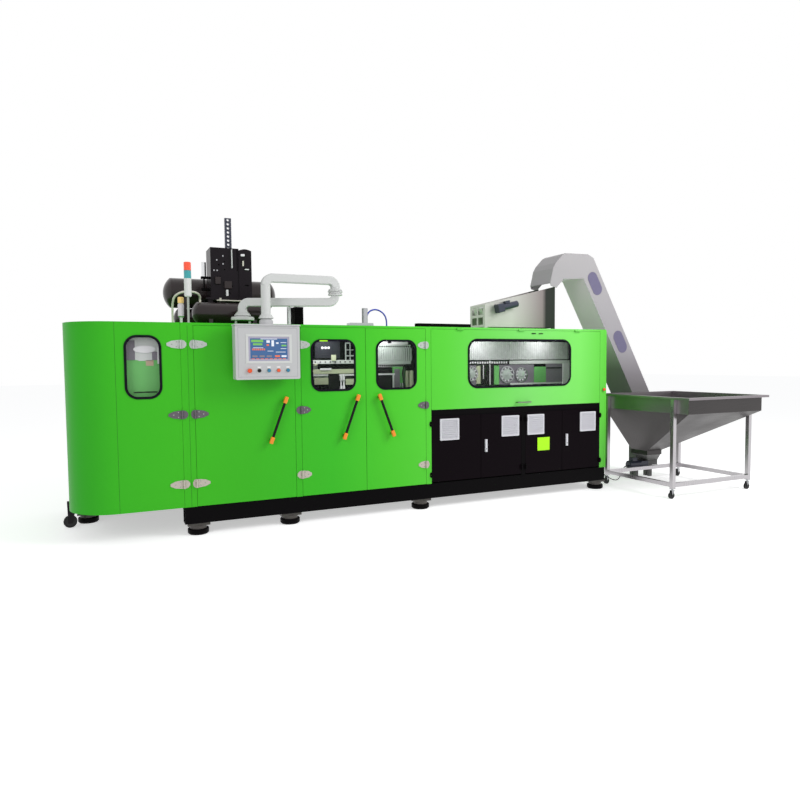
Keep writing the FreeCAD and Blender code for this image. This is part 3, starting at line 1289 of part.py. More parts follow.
def make_hopper():
    """The stainless bin with its funnel, on a square-tube frame with four casters."""
    def band(inset, z0, z1):
        """A straight band of the bin, smaller by the inset."""
        return block(bin_left + inset, bin_right - inset, bin_front + inset, bin_back - inset, z0, z1)

    def funnel(inset):
        """The four sloping sides, smaller by the inset."""
        left, right, front, back, low = outlet
        return hopper_shape(
            (bin_left + inset, bin_right - inset, bin_front + inset, bin_back - inset, bin_bend),
            (left + inset, right - inset, front + inset, back - inset, low))
    shell = band(0, bin_bend, bin_top).fuse(funnel(0))
    rim = block(bin_left - rim_width, bin_right + rim_width, bin_front - rim_width, bin_back + rim_width,
                bin_top - rim_fold, bin_top)
    rim = rim.cut(block(bin_left - rim_width + bin_wall, bin_right + rim_width - bin_wall,
                        bin_front - rim_width + bin_wall, bin_back + rim_width - bin_wall,
                        bin_top - rim_fold - 1, bin_top - bin_wall))
    left, right, front, back, low = outlet
    throat = block(left, right, front, back, low - 60, low + 1)
    shell = shell.fuse([rim, throat])
    shell = shell.cut(band(bin_wall, bin_bend, bin_top + 1).fuse(funnel(bin_wall)))
    shell = shell.cut(block(left + bin_wall, right - bin_wall, front + bin_wall, back - bin_wall,
                            low - 61, low + 2))
    export("hopper_bin", shell)

    def chute(inset):
        """The sloping chute from the throat to the elevator's boot, smaller by the inset."""
        edge = inset + 10
        return hopper_shape((left + edge, right - edge, front + edge, back - edge, low - 62),
                            (boot_x[0] + inset, boot_x[1] - inset, boot_front + inset, elevator_front - inset,
                             boot_top))
    feed_chute = chute(0.0).cut(chute(3.0))
    half = frame_tube / 2
    tubes = []
    leg_top = bin_top - bin_wall
    for x in frame_leg_x:
        for y in frame_leg_y:
            tubes.append(tube_along("z", x - half, x + half, y - half, y + half, frame_rail_low - 15, leg_top,
                                    frame_wall))
    z0, z1 = frame_rail_low, frame_rail_low + frame_tube
    for x in frame_leg_x:
        tubes.append(tube_along("y", x - half, x + half, frame_leg_y[0] + half, frame_leg_y[1] - half,
                                z0, z1, frame_wall))
    for y in frame_leg_y:
        tubes.append(tube_along("x", frame_leg_x[0] + half, frame_leg_x[1] - half, y - half, y + half,
                                z0, z1, frame_wall))
    export("hopper_frame", *tubes)
    casters = []
    for x in frame_leg_x:
        for y in frame_leg_y:
            wheel = rod((x - 16, y - 13, hopper_wheel_radius), Y_AXIS, hopper_wheel_radius, 26)
            plate = block(x - 27, x + 27, y - 27, y + 27, frame_rail_low - 21, frame_rail_low - 15)
            stem = rod((x, y, frame_rail_low - 45), Z_AXIS, 12, 25)
            cheeks = []
            for cheek_y in (y - 19, y + 15):
                outline = [(x + 20, frame_rail_low - 36), (x - 24, frame_rail_low - 36), (x - 30, 34),
                           (x - 4, 34)]
                cheeks.append(prism(outline, cheek_y, cheek_y + 4))
            crown = block(x - 24, x + 20, y - 19, y + 19, frame_rail_low - 42, frame_rail_low - 36)
            axle = rod((x - 16, y - 21, hopper_wheel_radius), Y_AXIS, 6, 42)
            casters.append(wheel.fuse([plate, stem, crown, axle] + cheeks))
    export("hopper_casters", *casters)
    return feed_chute


make_cabinet()
make_doors()
make_roof_equipment()
make_operator_panel()
make_blow_station()
make_oven()
trough_motor = make_unscrambler()
feed_chute = make_hopper()
elevator_motor = make_elevator(feed_chute)
export("feeder_motors", trough_motor, elevator_motor)
export("motor_cable", bent_tube(motor_cable_points, motor_cable_radius, "motor cable"))
print("nodes:", len([name for name in os.listdir("parts") if name.endswith(".step")]))
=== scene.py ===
"""Looks of the stretch blow moulding machine: finishes, small parts, light and camera."""

import logging
import math
from dataclasses import dataclass
from enum import Enum
from typing import Sequence

import bmesh
import bpy
import numpy as np
from mathutils import Matrix, Vector


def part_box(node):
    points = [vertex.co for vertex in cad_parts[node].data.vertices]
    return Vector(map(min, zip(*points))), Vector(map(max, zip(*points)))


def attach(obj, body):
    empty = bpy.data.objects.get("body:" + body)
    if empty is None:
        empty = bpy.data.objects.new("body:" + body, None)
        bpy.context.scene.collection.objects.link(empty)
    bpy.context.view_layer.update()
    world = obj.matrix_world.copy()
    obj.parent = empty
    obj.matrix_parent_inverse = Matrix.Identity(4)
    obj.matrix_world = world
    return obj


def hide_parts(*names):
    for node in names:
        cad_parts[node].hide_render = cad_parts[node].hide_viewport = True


LOG = logging.getLogger("blow_moulder")
logging.basicConfig(level=logging.INFO, format="%(message)s")

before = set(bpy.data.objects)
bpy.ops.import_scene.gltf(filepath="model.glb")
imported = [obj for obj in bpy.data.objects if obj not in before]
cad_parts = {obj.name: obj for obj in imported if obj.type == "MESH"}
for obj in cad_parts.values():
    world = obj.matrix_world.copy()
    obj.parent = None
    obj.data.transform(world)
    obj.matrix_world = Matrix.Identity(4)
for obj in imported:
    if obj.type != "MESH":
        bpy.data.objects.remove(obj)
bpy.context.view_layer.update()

Point = tuple[float, float, float]
Span = tuple[float, float]
Row = tuple[float, float, float, float]


# ---- places ----
class Machine:
    """Turns machine millimetres into the row frame.

    X is counted from the cabinet's rounded left end, Y back from its doors and Z up from the floor.
    """

    ROOF_CORNER = Vector((1044.0, 0.0, 2110.0))

    def __init__(self) -> None:
        """Finds the machine's zero from the roof panel's corner."""
        self.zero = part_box("roof_panel")[0] - self.ROOF_CORNER / 1000.0

    def at(self, x: float, y: float, z: float) -> Vector:
        """The place of a machine point in the row frame, in metres."""
        return self.zero + Vector((x, y, z)) / 1000.0

    def all(self, points: Sequence[Point]) -> list[Vector]:
        """The places of several machine points."""
        return [self.at(*p) for p in points]


MACHINE = Machine()


class Side(Enum):
    """The way that a fastener looks or an axis runs."""

    FRONT = (0.0, -1.0, 0.0)
    LEFT = (-1.0, 0.0, 0.0)
    UP = (0.0, 0.0, 1.0)


# ---- node trees ----
class Graph:
    """A node tree, with short ways to add its nodes and join them."""

    def __init__(self, tree: bpy.types.NodeTree) -> None:
        """Takes the tree."""
        self.tree = tree

    def fill(self, node: bpy.types.Node, inputs: dict) -> None:
        """Sets or joins the inputs of a node.

        Args:
            node: the node.
            inputs: a value, or an output to join, by the input's name or number.
        """
        for key, value in inputs.items():
            if isinstance(value, bpy.types.NodeSocket):
                self.tree.links.new(value, node.inputs[key])
            else:
                node.inputs[key].default_value = value

    def add(self, kind: str, inputs: dict | None = None, **settings: object) -> bpy.types.Node:
        """Adds a node.

        Args:
            kind: its type.
            inputs: what its inputs hold, as fill takes them.
            settings: its own settings.
        Returns:
            The node.
        """
        made = self.tree.nodes.new(kind)
        for label, value in settings.items():
            setattr(made, label, value)
        self.fill(made, inputs or {})
        return made

    def maths(self, operation: str, first: object, second: object) -> bpy.types.NodeSocket:
        """The result of a calculation with two values or outputs."""
        return self.add("ShaderNodeMath", {0: first, 1: second}, operation=operation).outputs[0]

    def noise(self, place: bpy.types.NodeSocket, scale: object, detail: float) -> bpy.types.NodeSocket:
        """Noise at a place, as one number."""
        texture = self.add("ShaderNodeTexNoise", {"Vector": place, "Scale": scale, "Detail": detail})
        return texture.outputs["Fac"]

    def choose(self, share: bpy.types.NodeSocket, first: bpy.types.NodeSocket,
               second: bpy.types.NodeSocket) -> bpy.types.NodeSocket:
        """The first shader where the share is 0, and the second where it is 1."""
        return self.add("ShaderNodeMixShader", {0: share, 1: first, 2: second}).outputs[0]


class Socket(Enum):
    """Kinds of a group's sockets."""

    COLOR = "NodeSocketColor"
    VECTOR = "NodeSocketVector"
    NUMBER = "NodeSocketFloat"
    COUNT = "NodeSocketInt"
    GEOMETRY = "NodeSocketGeometry"
    MATERIAL = "NodeSocketMaterial"

    @classmethod
    def of(cls, value: object) -> "Socket":
        """The kind that a default value needs.

        Args:
            value: the default, or the kind itself where the socket has no default.
        Returns:
            The kind.
        """
        if isinstance(value, cls):
            return value
        if isinstance(value, tuple):
            return cls.VECTOR if len(value) == 3 else cls.COLOR
        return cls.COUNT if isinstance(value, int) else cls.NUMBER


class Group(Graph):
    """A node group with named inputs and outputs."""

    def __init__(self, name: str, tree_type: str, inputs: dict[str, object],
                 outputs: dict[str, Socket]) -> None:
        """Starts the group with its sockets.

        Args:
            name: the group's name.
            tree_type: the type of its tree.
            inputs: default values by name, or kinds where there is no default.
            outputs: kinds by name.
        """
        super().__init__(bpy.data.node_groups.new(name, tree_type))
        self.sockets: dict[str, str] = {}
        for label, value in inputs.items():
            socket = self.tree.interface.new_socket(label, in_out="INPUT", socket_type=Socket.of(value).value)
            if not isinstance(value, Socket):
                socket.default_value = value
            self.sockets[label] = socket.identifier
        for label, kind in outputs.items():
            self.tree.interface.new_socket(label, in_out="OUTPUT", socket_type=kind.value)
        self.given = self.add("NodeGroupInput").outputs
        self.result = self.add("NodeGroupOutput")

    def give(self, **outputs: bpy.types.NodeSocket) -> bpy.types.NodeTree:
        """Joins the group's outputs and gives its tree."""
        self.fill(self.result, outputs)
        return self.tree


# ---- shader groups ----
class ShaderGroup(Group):
    """A surface effect that several finishes share."""

    def __init__(self, name: str, inputs: dict[str, object], outputs: Sequence[str]) -> None:
        """Starts the group with a colour going in and out.

        Args:
            name: the group's name.
            inputs: default values by name, beside the colour.
            outputs: names of the numbers that it gives, beside the colour.
        """
        super().__init__(name, "ShaderNodeTree", {"Color": (0.5, 0.5, 0.5, 1.0), **inputs},
                         {"Color": Socket.COLOR, **{label: Socket.NUMBER for label in outputs}})
        self.place = self.add("ShaderNodeTexCoord").outputs

    def tinted(self, change: bpy.types.NodeSocket) -> bpy.types.NodeSocket:
        """The group's colour, lighter or darker by a change about zero."""
        scaled = {0: self.given["Color"], "Scale": self.maths("ADD", change, 1.0)}
        return self.add("ShaderNodeVectorMath", scaled, operation="SCALE").outputs[0]


class ShaderGroups:
    """The shared surface effects, each built once."""

    def __init__(self) -> None:
        """Builds each group."""
        self.grain = self._grain()
        self.dust = self._dust()
        self.brushed = self._brushed()

    @staticmethod
    def _grain() -> bpy.types.NodeTree:
        """Fine mottling of a painted or cast surface, and its height.

        Returns:
            The group's tree.
        """
        group = ShaderGroup("surface_grain", {"Scale": 120.0, "Amount": 0.1, "Clouds": 0.1}, ["Height"])
        fine = group.noise(group.place["Object"], group.given["Scale"], 2.0)
        large = group.noise(group.place["Object"], 1.4, 3.0)
        shares = [group.maths("MULTIPLY", group.maths("SUBTRACT", noise, 0.5), group.given[label])
                  for noise, label in ((fine, "Amount"), (large, "Clouds"))]
        return group.give(Color=group.tinted(group.maths("ADD", *shares)), Height=fine)

    @staticmethod
    def _dust() -> bpy.types.NodeTree:
        """Dust that settles on what faces up.

        Returns:
            The group's tree.
        """
        group = ShaderGroup("settled_dust", {"Dust": (0.62, 0.60, 0.56, 1.0), "Amount": 0.2}, ["Mask"])
        noise = group.noise(group.place["Object"], 9.0, 4.0)
        upward = group.add("ShaderNodeSeparateXYZ", {0: group.place["Normal"]}).outputs["Z"]
        flat = group.add("ShaderNodeMapRange", {"Value": upward, "From Min": 0.5}).outputs[0]
        patches = group.maths("MULTIPLY", flat, noise)
        mask = group.add("ShaderNodeMath", {0: patches, 1: group.given["Amount"]}, operation="MULTIPLY",
                         use_clamp=True).outputs[0]
        mix = group.add("ShaderNodeMix", data_type="RGBA")
        group.fill(mix, {"Factor": mask, 6: group.given["Color"], 7: group.given["Dust"]})
        return group.give(Color=mix.outputs[2], Mask=mask)

    @staticmethod
    def _brushed() -> bpy.types.NodeTree:
        """The fine parallel lines of brushed sheet, as a colour, a roughness and a height.

        Returns:
            The group's tree.
        """
        group = ShaderGroup("brushed_lines", {"Stretch": (4.0, 4.0, 260.0), "Amount": 0.15, "Roughness": 0.3},
                            ["Roughness", "Height"])
        stretched = group.add("ShaderNodeVectorMath", {0: group.place["Object"], 1: group.given["Stretch"]},
                              operation="MULTIPLY").outputs[0]
        lines = group.noise(stretched, 1.0, 4.0)
        both = group.maths("ADD", lines, group.noise(group.place["Object"], 2.2, 2.0))
        change = group.maths("MULTIPLY", group.maths("SUBTRACT", both, 1.0), group.given["Amount"])
        return group.give(Color=group.tinted(change), Height=lines,
                          Roughness=group.maths("ADD", change, group.given["Roughness"]))


GROUPS = ShaderGroups()


# ---- finishes ----
class Axis(Enum):
    """The axis that a graded tone follows."""

    X = 0
    Z = 2


class Brush(Enum):
    """The way that a sheet's brushed lines run."""

    ALONG_X = (3.0, 260.0, 260.0)
    ALONG_Z = (260.0, 260.0, 3.0)
    CAST = (60.0, 60.0, 60.0)


class Shade(Graph):
    """A new material with its Principled shader."""

    def __init__(self, name: str) -> None:
        """Starts the material.

        Args:
            name: the material's name.
        """
        self.material = bpy.data.materials.new(name)
        self.material.use_nodes = True
        super().__init__(self.material.node_tree)
        self.shader = self.tree.nodes["Principled BSDF"]

    def group(self, tree: bpy.types.NodeTree, **inputs: object) -> bpy.types.NodeOutputs:
        """Places a shader group with its inputs and gives its outputs."""
        return self.add("ShaderNodeGroup", inputs, node_tree=tree).outputs

    def bump(self, height: bpy.types.NodeSocket, depth: float) -> bpy.types.NodeSocket:
        """The normal of a bump, its depth in metres."""
        made = self.add("ShaderNodeBump", {"Strength": 0.5, "Distance": depth, "Height": height})
        return made.outputs["Normal"]

    def finish(self, inputs: dict[str, object]) -> bpy.types.Material:
        """Fills the shader's inputs and gives the material."""
        self.fill(self.shader, inputs)
        return self.material


@dataclass(frozen=True)
class Paint:
    """Sprayed or powder-coated paint, moulded plastic or rubber."""

    name: str
    color: Point
    roughness: float = 0.4
    coat: float = 0.0
    grain: float = 0.08
    grain_scale: float = 160.0
    clouds: float = 0.08
    dust: float = 0.15
    shine: float = 0.4

    def build(self) -> bpy.types.Material:
        """The material, from grain under settled dust.

        Returns:
            The material.
        """
        shade = Shade(self.name)
        grain = shade.group(GROUPS.grain, Color=(*self.color, 1), Scale=self.grain_scale, Amount=self.grain,
                            Clouds=self.clouds)
        dust = shade.group(GROUPS.dust, Color=grain["Color"], Amount=self.dust)
        return shade.finish({
            "Base Color": dust["Color"], "Normal": shade.bump(grain["Height"], 0.0002),
            "Roughness": self.roughness, "Metallic": 0.0, "Specular IOR Level": self.shine,
            "Coat Weight": self.coat, "Coat Roughness": 0.12})


@dataclass(frozen=True)
class DarkPaint(Paint):
    """Clean black paint that hardly shines."""

    roughness: float = 0.45
    grain: float = 0.2
    grain_scale: float = 180.0
    clouds: float = 0.2
    dust: float = 0.0
    shine: float = 0.05


@dataclass(frozen=True)
class Plastic(Paint):
    """Clean moulded plastic of one even colour."""

    roughness: float = 0.35
    coat: float = 0.3
    grain: float = 0.05
    grain_scale: float = 200.0
    clouds: float = 0.05
    dust: float = 0.0


@dataclass(frozen=True)
class Plate(Paint):
    """A clean plate or cover in a light, even colour."""

    grain: float = 0.03
    grain_scale: float = 200.0
    clouds: float = 0.03
    dust: float = 0.0


@dataclass(frozen=True)
class Inner(Paint):
    """What shows through a window, with soft light and shade painted into its colours."""

    roughness: float = 0.45
    grain: float = 0.10
    grain_scale: float = 60.0
    clouds: float = 0.30
    dust: float = 0.0


@dataclass(frozen=True)
class Metal:
    """Bare metal with brushed or machined lines."""

    name: str
    color: Point
    roughness: float = 0.3
    brush: Brush = Brush.ALONG_X
    amount: float = 0.14
    dust: float = 0.1

    def build(self) -> bpy.types.Material:
        """The material, from brushed lines under settled dust.

        Returns:
            The material.
        """
        shade = Shade(self.name)
        lines = shade.group(GROUPS.brushed, Color=(*self.color, 1), Stretch=self.brush.value,
                            Amount=self.amount, Roughness=self.roughness)
        dust = shade.group(GROUPS.dust, Color=lines["Color"], Amount=self.dust)
        return shade.finish({"Base Color": dust["Color"], "Roughness": lines["Roughness"], "Metallic": 1.0,
                             "Normal": shade.bump(lines["Height"], 0.0001)})


@dataclass(frozen=True)
class Graded:
    """Paint or sheet whose tone changes along one axis; on the green paint, trough and elevator this is
    painted light and shade, as under a one-sided light.
    """

    name: str
    axis: Axis
    stops: tuple[tuple[float, Point], ...]
    roughness: float = 0.4
    metal: float = 0.0
    shine: float = 0.2
    brush: Brush = Brush.CAST
    amount: float = 0.04
    relief: float = 0.0001

    def build(self) -> bpy.types.Material:
        """The material, from a colour ramp between machine millimetres.

        Returns:
            The material.
        """
        shade = Shade(self.name)
        place = shade.add("ShaderNodeTexCoord").outputs["Object"]
        along = shade.add("ShaderNodeSeparateXYZ", {0: place}).outputs[self.axis.value]
        low, high = self.stops[0][0], self.stops[-1][0]
        start, end = (MACHINE.at(s, s, s)[self.axis.value] for s in (low, high))
        share = shade.add("ShaderNodeMapRange", {"Value": along, "From Min": start, "From Max": end})
        ramp = shade.add("ShaderNodeValToRGB", {"Fac": share.outputs[0]})
        elements = ramp.color_ramp.elements
        for index, (place, color) in enumerate(self.stops):
            position = (place - low) / (high - low)
            stop = elements[index] if index < 2 else elements.new(position)
            stop.position = position
            stop.color = (*color, 1)
        lines = shade.group(GROUPS.brushed, Color=ramp.outputs["Color"], Stretch=self.brush.value,
                            Amount=self.amount, Roughness=self.roughness)
        return shade.finish({
            "Base Color": lines["Color"], "Roughness": lines["Roughness"], "Metallic": self.metal,
            "Normal": shade.bump(lines["Height"], self.relief), "Specular IOR Level": self.shine})


@dataclass(frozen=True)
class Pane:
    """A clear or tinted plastic pane."""

    name: str
    color: Point
    alpha: float

    def build(self) -> bpy.types.Material:
        """The material, thin and nearly clear.

        Returns:
            The material.
        """
        shade = Shade(self.name)
        grain = shade.group(GROUPS.grain, Color=(*self.color, 1), Scale=14.0, Amount=0.1, Clouds=0.3)
        return shade.finish({"Base Color": grain["Color"], "Alpha": self.alpha, "Roughness": 0.06,
                             "Specular IOR Level": 0.2})


@dataclass(frozen=True)
class Lit:
    """A lens or display that gives a little light of its own."""

    name: str
    color: Point
    strength: float

    def build(self) -> bpy.types.Material:
        """The material, its light in its own colour.

        Returns:
            The material.
        """
        shade = Shade(self.name)
        grain = shade.group(GROUPS.grain, Color=(*self.color, 1), Scale=60.0, Amount=0.1, Clouds=0.1)
        return shade.finish({"Base Color": grain["Color"], "Emission Color": grain["Color"],
                             "Emission Strength": self.strength, "Roughness": 0.2, "Coat Weight": 0.5})


class Finishes:
    """Every finish of the machine, each built once when it is first asked for."""

    LIST = (
        # painted light: the green is darker at the cover's rounded left end and grows lighter towards the
        # oven on the right, where a painted whitish sheen is mixed in, as under a lamp on the right
        Graded("green_paint", Axis.X, (
            (0.0, (0.022, 0.38, 0.010)), (450.0, (0.045, 0.49, 0.014)), (1000.0, (0.052, 0.52, 0.015)),
            (1700.0, (0.050, 0.50, 0.016)), (2600.0, (0.047, 0.53, 0.020)), (3300.0, (0.075, 0.60, 0.026)),
            (4000.0, (0.105, 0.65, 0.045)), (5200.0, (0.205, 0.70, 0.145)), (6000.0, (0.200, 0.74, 0.125)),
            (6450.0, (0.115, 0.60, 0.050))), 0.42, 0.0, 0.22, relief=0.0003),
        # painted shade: a darker copy of the green paint for inner and folded-back faces
        Paint("green_inside_shaded", (0.030, 0.20, 0.015), 0.5, 0.0, 0.10, 200.0, 0.10, 0.0, 0.2),
        DarkPaint("black_paint", (0.003, 0.0025, 0.003)),
        DarkPaint("dark_door", (0.004, 0.002, 0.0035), 0.35),
        Paint("tank_paint", (0.022, 0.013, 0.014), 0.24, 0.2, 0.15, 90.0, 0.3, 0.06, 0.3),
        Paint("tower_paint", (0.010, 0.007, 0.010), 0.30, 0.0, 0.15, 90.0, 0.35, 0.03, 0.15),
        Paint("motor_paint", (0.030, 0.035, 0.060), 0.35, 0.3, 0.1, 150.0, 0.3, 0.05),
        Paint("foot_steel", (0.075, 0.066, 0.060), 0.40, 0.1, 0.10, 120.0, 0.3, 0.05),
        Paint("cream_pipe", (0.72, 0.70, 0.60), 0.35, 0.1, 0.05, 100.0, 0.1, 0.05),
        Plate("white_paint", (0.67, 0.68, 0.67), 0.35, 0.05),
        Plate("panel_paint", (0.56, 0.56, 0.57), 0.4, 0.1, grain_scale=300.0),
        Plate("yellow_plate", (0.43, 0.95, 0.004), 0.4, 0.1),
        Plate("pale_plate", (0.75, 0.76, 0.74)),
        Plastic("grille_plastic", (0.70, 0.69, 0.74), 0.5, 0.0),
        Plastic("orange_plastic", (0.96, 0.29, 0.02)),
        Plastic("black_plastic", (0.006, 0.004, 0.006), 0.42, 0.0, 0.15, 300.0, 0.1, shine=0.2),
        Plastic("red_plastic", (0.86, 0.095, 0.020), 0.3),
        Plastic("blue_plastic", (0.020, 0.20, 0.36), 0.3),
        Plastic("blue_hose", (0.020, 0.045, 0.50), 0.3, 0.2),
        Plastic("lilac_border", (0.42, 0.40, 0.52), 0.4, 0.0, grain_scale=100.0, clouds=0.10),
        Plastic("shadow_line", (0.006, 0.012, 0.006), 0.7, 0.0),
        Paint("gasket_rubber", (0.006, 0.005, 0.010), 0.5, 0.0, 0.2, 300.0, 0.1, 0.0, 0.1),
        Paint("wheel_rubber", (0.016, 0.016, 0.017), 0.6, 0.0, 0.2, 300.0, 0.2, 0.05),
        Paint("cable_rubber", (0.012, 0.012, 0.012), 0.55, 0.0, 0.1, 300.0, 0.1, 0.02),
        Inner("stud_grey", (0.028, 0.028, 0.038), 0.50),
        Inner("lit_green", (0.20, 0.62, 0.18), 0.5, clouds=0.25),
        Inner("lit_grey", (0.78, 0.80, 0.79), clouds=0.35),
        Inner("shaded_grey", (0.26, 0.23, 0.28), 0.5, clouds=0.35),
        Inner("lit_white", (0.95, 0.93, 0.97), 0.4, grain=0.03, clouds=0.05),
        Inner("lit_cream", (0.62, 0.66, 0.46)),
        Inner("tan_clip", (0.66, 0.50, 0.36), 0.5, grain=0.05, clouds=0.10),
        Inner("slat_grey", (0.60, 0.66, 0.63), grain=0.20, grain_scale=25.0),
        Inner("reflector_grey", (0.70, 0.71, 0.72), 0.40, grain=0.45, grain_scale=22.0, clouds=0.40),
        # painted shade: the elevator's windows are opaque, in the dark tone of the shaded inside behind them
        Inner("elevator_glass", (0.155, 0.140, 0.235), 0.3, grain_scale=20.0, clouds=0.5, dust=0.15),
        # painted light and shade: the trough's sheet is pale on the left and darkens to near black at its
        # right end
        Graded("trough_sheet", Axis.X, (
            (4835.0, (0.58, 0.58, 0.54)), (5250.0, (0.60, 0.60, 0.56)), (5560.0, (0.40, 0.37, 0.36)),
            (5740.0, (0.28, 0.24, 0.24)), (5800.0, (0.030, 0.034, 0.030)), (5950.0, (0.022, 0.030, 0.022))),
            0.36, 0.35, 0.3, Brush.ALONG_X, 0.12),
        # painted shade: the elevator's sheet is darker towards its bottom
        Graded("elevator_sheet", Axis.Z, (
            (1050.0, (0.16, 0.16, 0.155)), (1500.0, (0.26, 0.24, 0.26)), (1900.0, (0.39, 0.37, 0.400)),
            (3194.0, (0.42, 0.405, 0.415))), 0.46, 0.15, 0.25, Brush.ALONG_Z, 0.06),
        # painted light: the elevator's left-facing side is lighter and pinker high up to offset its shade,
        # and darker towards its bottom
        Graded("elevator_side", Axis.Z, (
            (1050.0, (0.15, 0.14, 0.15)), (1600.0, (0.30, 0.25, 0.30)), (2100.0, (0.95, 0.76, 0.95)),
            (3194.0, (0.95, 0.76, 0.95))), 0.5, 0.0, 0.1, Brush.ALONG_Z, 0.06),
        # the hinge leaves' tone by height: pale and warm low, dark in the middle, pale and greenish high
        Graded("hinge_leaf", Axis.Z, (
            (532.0, (0.56, 0.50, 0.44)), (880.0, (0.50, 0.44, 0.40)), (1000.0, (0.135, 0.115, 0.140)),
            (1450.0, (0.135, 0.115, 0.140)), (1600.0, (0.48, 0.52, 0.50)), (1990.0, (0.54, 0.58, 0.55))),
            0.26, 0.25, 0.5, Brush.CAST, 0.10, 0.0),
        Metal("stainless_upright", (0.60, 0.58, 0.60), 0.30, Brush.ALONG_Z, 0.16),
        Metal("stainless_sheet", (0.56, 0.56, 0.57), 0.26, Brush.ALONG_X, 0.18),
        # painted reflection: one stainless steel in two tones, dark on the hopper's front band and funnel,
        # which mirror dark surroundings, and lighter on its sides
        Metal("hopper_shaded_steel", (0.085, 0.080, 0.080), 0.34, Brush.ALONG_X, 0.30),
        Metal("hopper_lit_steel", (0.34, 0.31, 0.33), 0.44, Brush.ALONG_X, 0.20),
        Metal("chrome", (0.38, 0.42, 0.37), 0.20, Brush.CAST, 0.08, 0.0),
        Metal("pull_metal", (0.26, 0.32, 0.24), 0.34, Brush.ALONG_X, 0.10, 0.0),
        Metal("machined_steel", (0.50, 0.51, 0.53), 0.28, Brush.CAST, 0.12),
        Metal("aluminium", (0.78, 0.79, 0.80), 0.34, Brush.ALONG_X, 0.10),
        Metal("brass", (0.80, 0.58, 0.22), 0.28, Brush.CAST, 0.12),
        Pane("clear_pane", (0.10, 0.13, 0.11), 0.05),
        Lit("red_lens", (0.85, 0.07, 0.02), 0.25),
        Lit("teal_lens", (0.02, 0.30, 0.32), 0.2),
        Lit("display_blue", (0.022, 0.090, 0.24), 0.3),
        Lit("display_white", (0.68, 0.72, 0.80), 0.3),
        Lit("display_green", (0.14, 0.42, 0.08), 0.3),
        Lit("display_red", (0.72, 0.14, 0.05), 0.3),
    )

    def __init__(self) -> None:
        """Starts with no material built."""
        self._known = {finish.name: finish for finish in self.LIST}
        self._built: dict[str, bpy.types.Material] = {}

    def get(self, name: str) -> bpy.types.Material:
        """The material of a finish.

        Args:
            name: the finish's name.
        Returns:
            Its material.
        """
        if name not in self._built:
            self._built[name] = self._known[name].build()
        return self._built[name]


FINISHES = Finishes()


# ---- dressing the frame's own solids ----
@dataclass(frozen=True)
class Area:
    """A box in machine millimetres that picks faces by their middles, and by what they look at."""

    x: Span = (-1e6, 1e6)
    y: Span = (-1e6, 1e6)
    z: Span = (-1e6, 1e6)
    toward: Point | None = None

    def picks(self, places: np.ndarray, normals: np.ndarray) -> np.ndarray:
        """Which faces are meant.

        Args:
            places: the faces' middles in machine millimetres.
            normals: the faces' normals.
        Returns:
            One truth value a face.
        """
        inside = np.ones(len(places), bool)
        for column, (low, high) in enumerate((self.x, self.y, self.z)):
            inside &= (places[:, column] >= low) & (places[:, column] <= high)
        if self.toward is not None:
            inside &= ((np.array(self.toward) - places) * normals).sum(axis=1) > 0
        return inside


# faces folded back behind a door's edge, which take the painted shade of the green
FOLDED_BACK = Area(y=(4, 40))
PANE_RIM = Area(y=(-10, -1.2))


def dress(node: str, finish: str, *areas: tuple[Area, str]) -> None:
    """Gives one of the frame's solids its finish.

    Args:
        node: the solid's name.
        finish: the finish of the whole solid.
        areas: further finishes for parts of it, later ones over earlier ones.
    """
    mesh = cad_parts[node].data
    mesh.materials.clear()
    for name in (finish, *(other for _, other in areas)):
        mesh.materials.append(FINISHES.get(name))
    count = len(mesh.polygons)
    places, normals = np.zeros(count * 3), np.zeros(count * 3)
    mesh.polygons.foreach_get("center", places)
    mesh.polygons.foreach_get("normal", normals)
    places = (places.reshape(-1, 3) - np.array(MACHINE.zero)) * 1000.0
    slots = np.zeros(count, np.int32)
    for index, (area, _) in enumerate(areas):
        slots[area.picks(places, normals.reshape(-1, 3))] = index + 1
    mesh.polygons.foreach_set("material_index", slots)
    mesh.update()
    LOG.info("dressed %s in %s", node, finish)


# ---- making pieces ----
@dataclass(frozen=True)
class Mount:
    """Where a piece belongs: the body that it moves with and its material slot in the record."""

    body: str
    slot: str


ON_COVER = Mount("left_cover", "green_paint")
ON_PANEL = Mount("operator_panel", "white_paint")
ON_UPPER_ARM = Mount("upper_arm", "white_paint")
ON_LOWER_ARM = Mount("lower_arm", "white_paint")
FIXED_METAL = Mount("machine", "mould_aluminium")


def add_object(name: str, data: bpy.types.ID | None) -> bpy.types.Object:
    """A new object in the scene.

    Args:
        name: its name.
        data: its mesh, curve, light or camera.
    Returns:
        The object.
    """
    made = bpy.data.objects.new(name, data)
    bpy.context.scene.collection.objects.link(made)
    return made


def settle(made: bpy.types.Object, mount: Mount, *replaced: str) -> None:
    """Ties a finished object to its body.

    Args:
        made: the object.
        mount: its body and slot.
        replaced: frame solids that it stands for.
    """
    if replaced:
        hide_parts(*replaced)
    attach(made, mount.body)
    LOG.info("made %s on %s", made.name, mount.body)


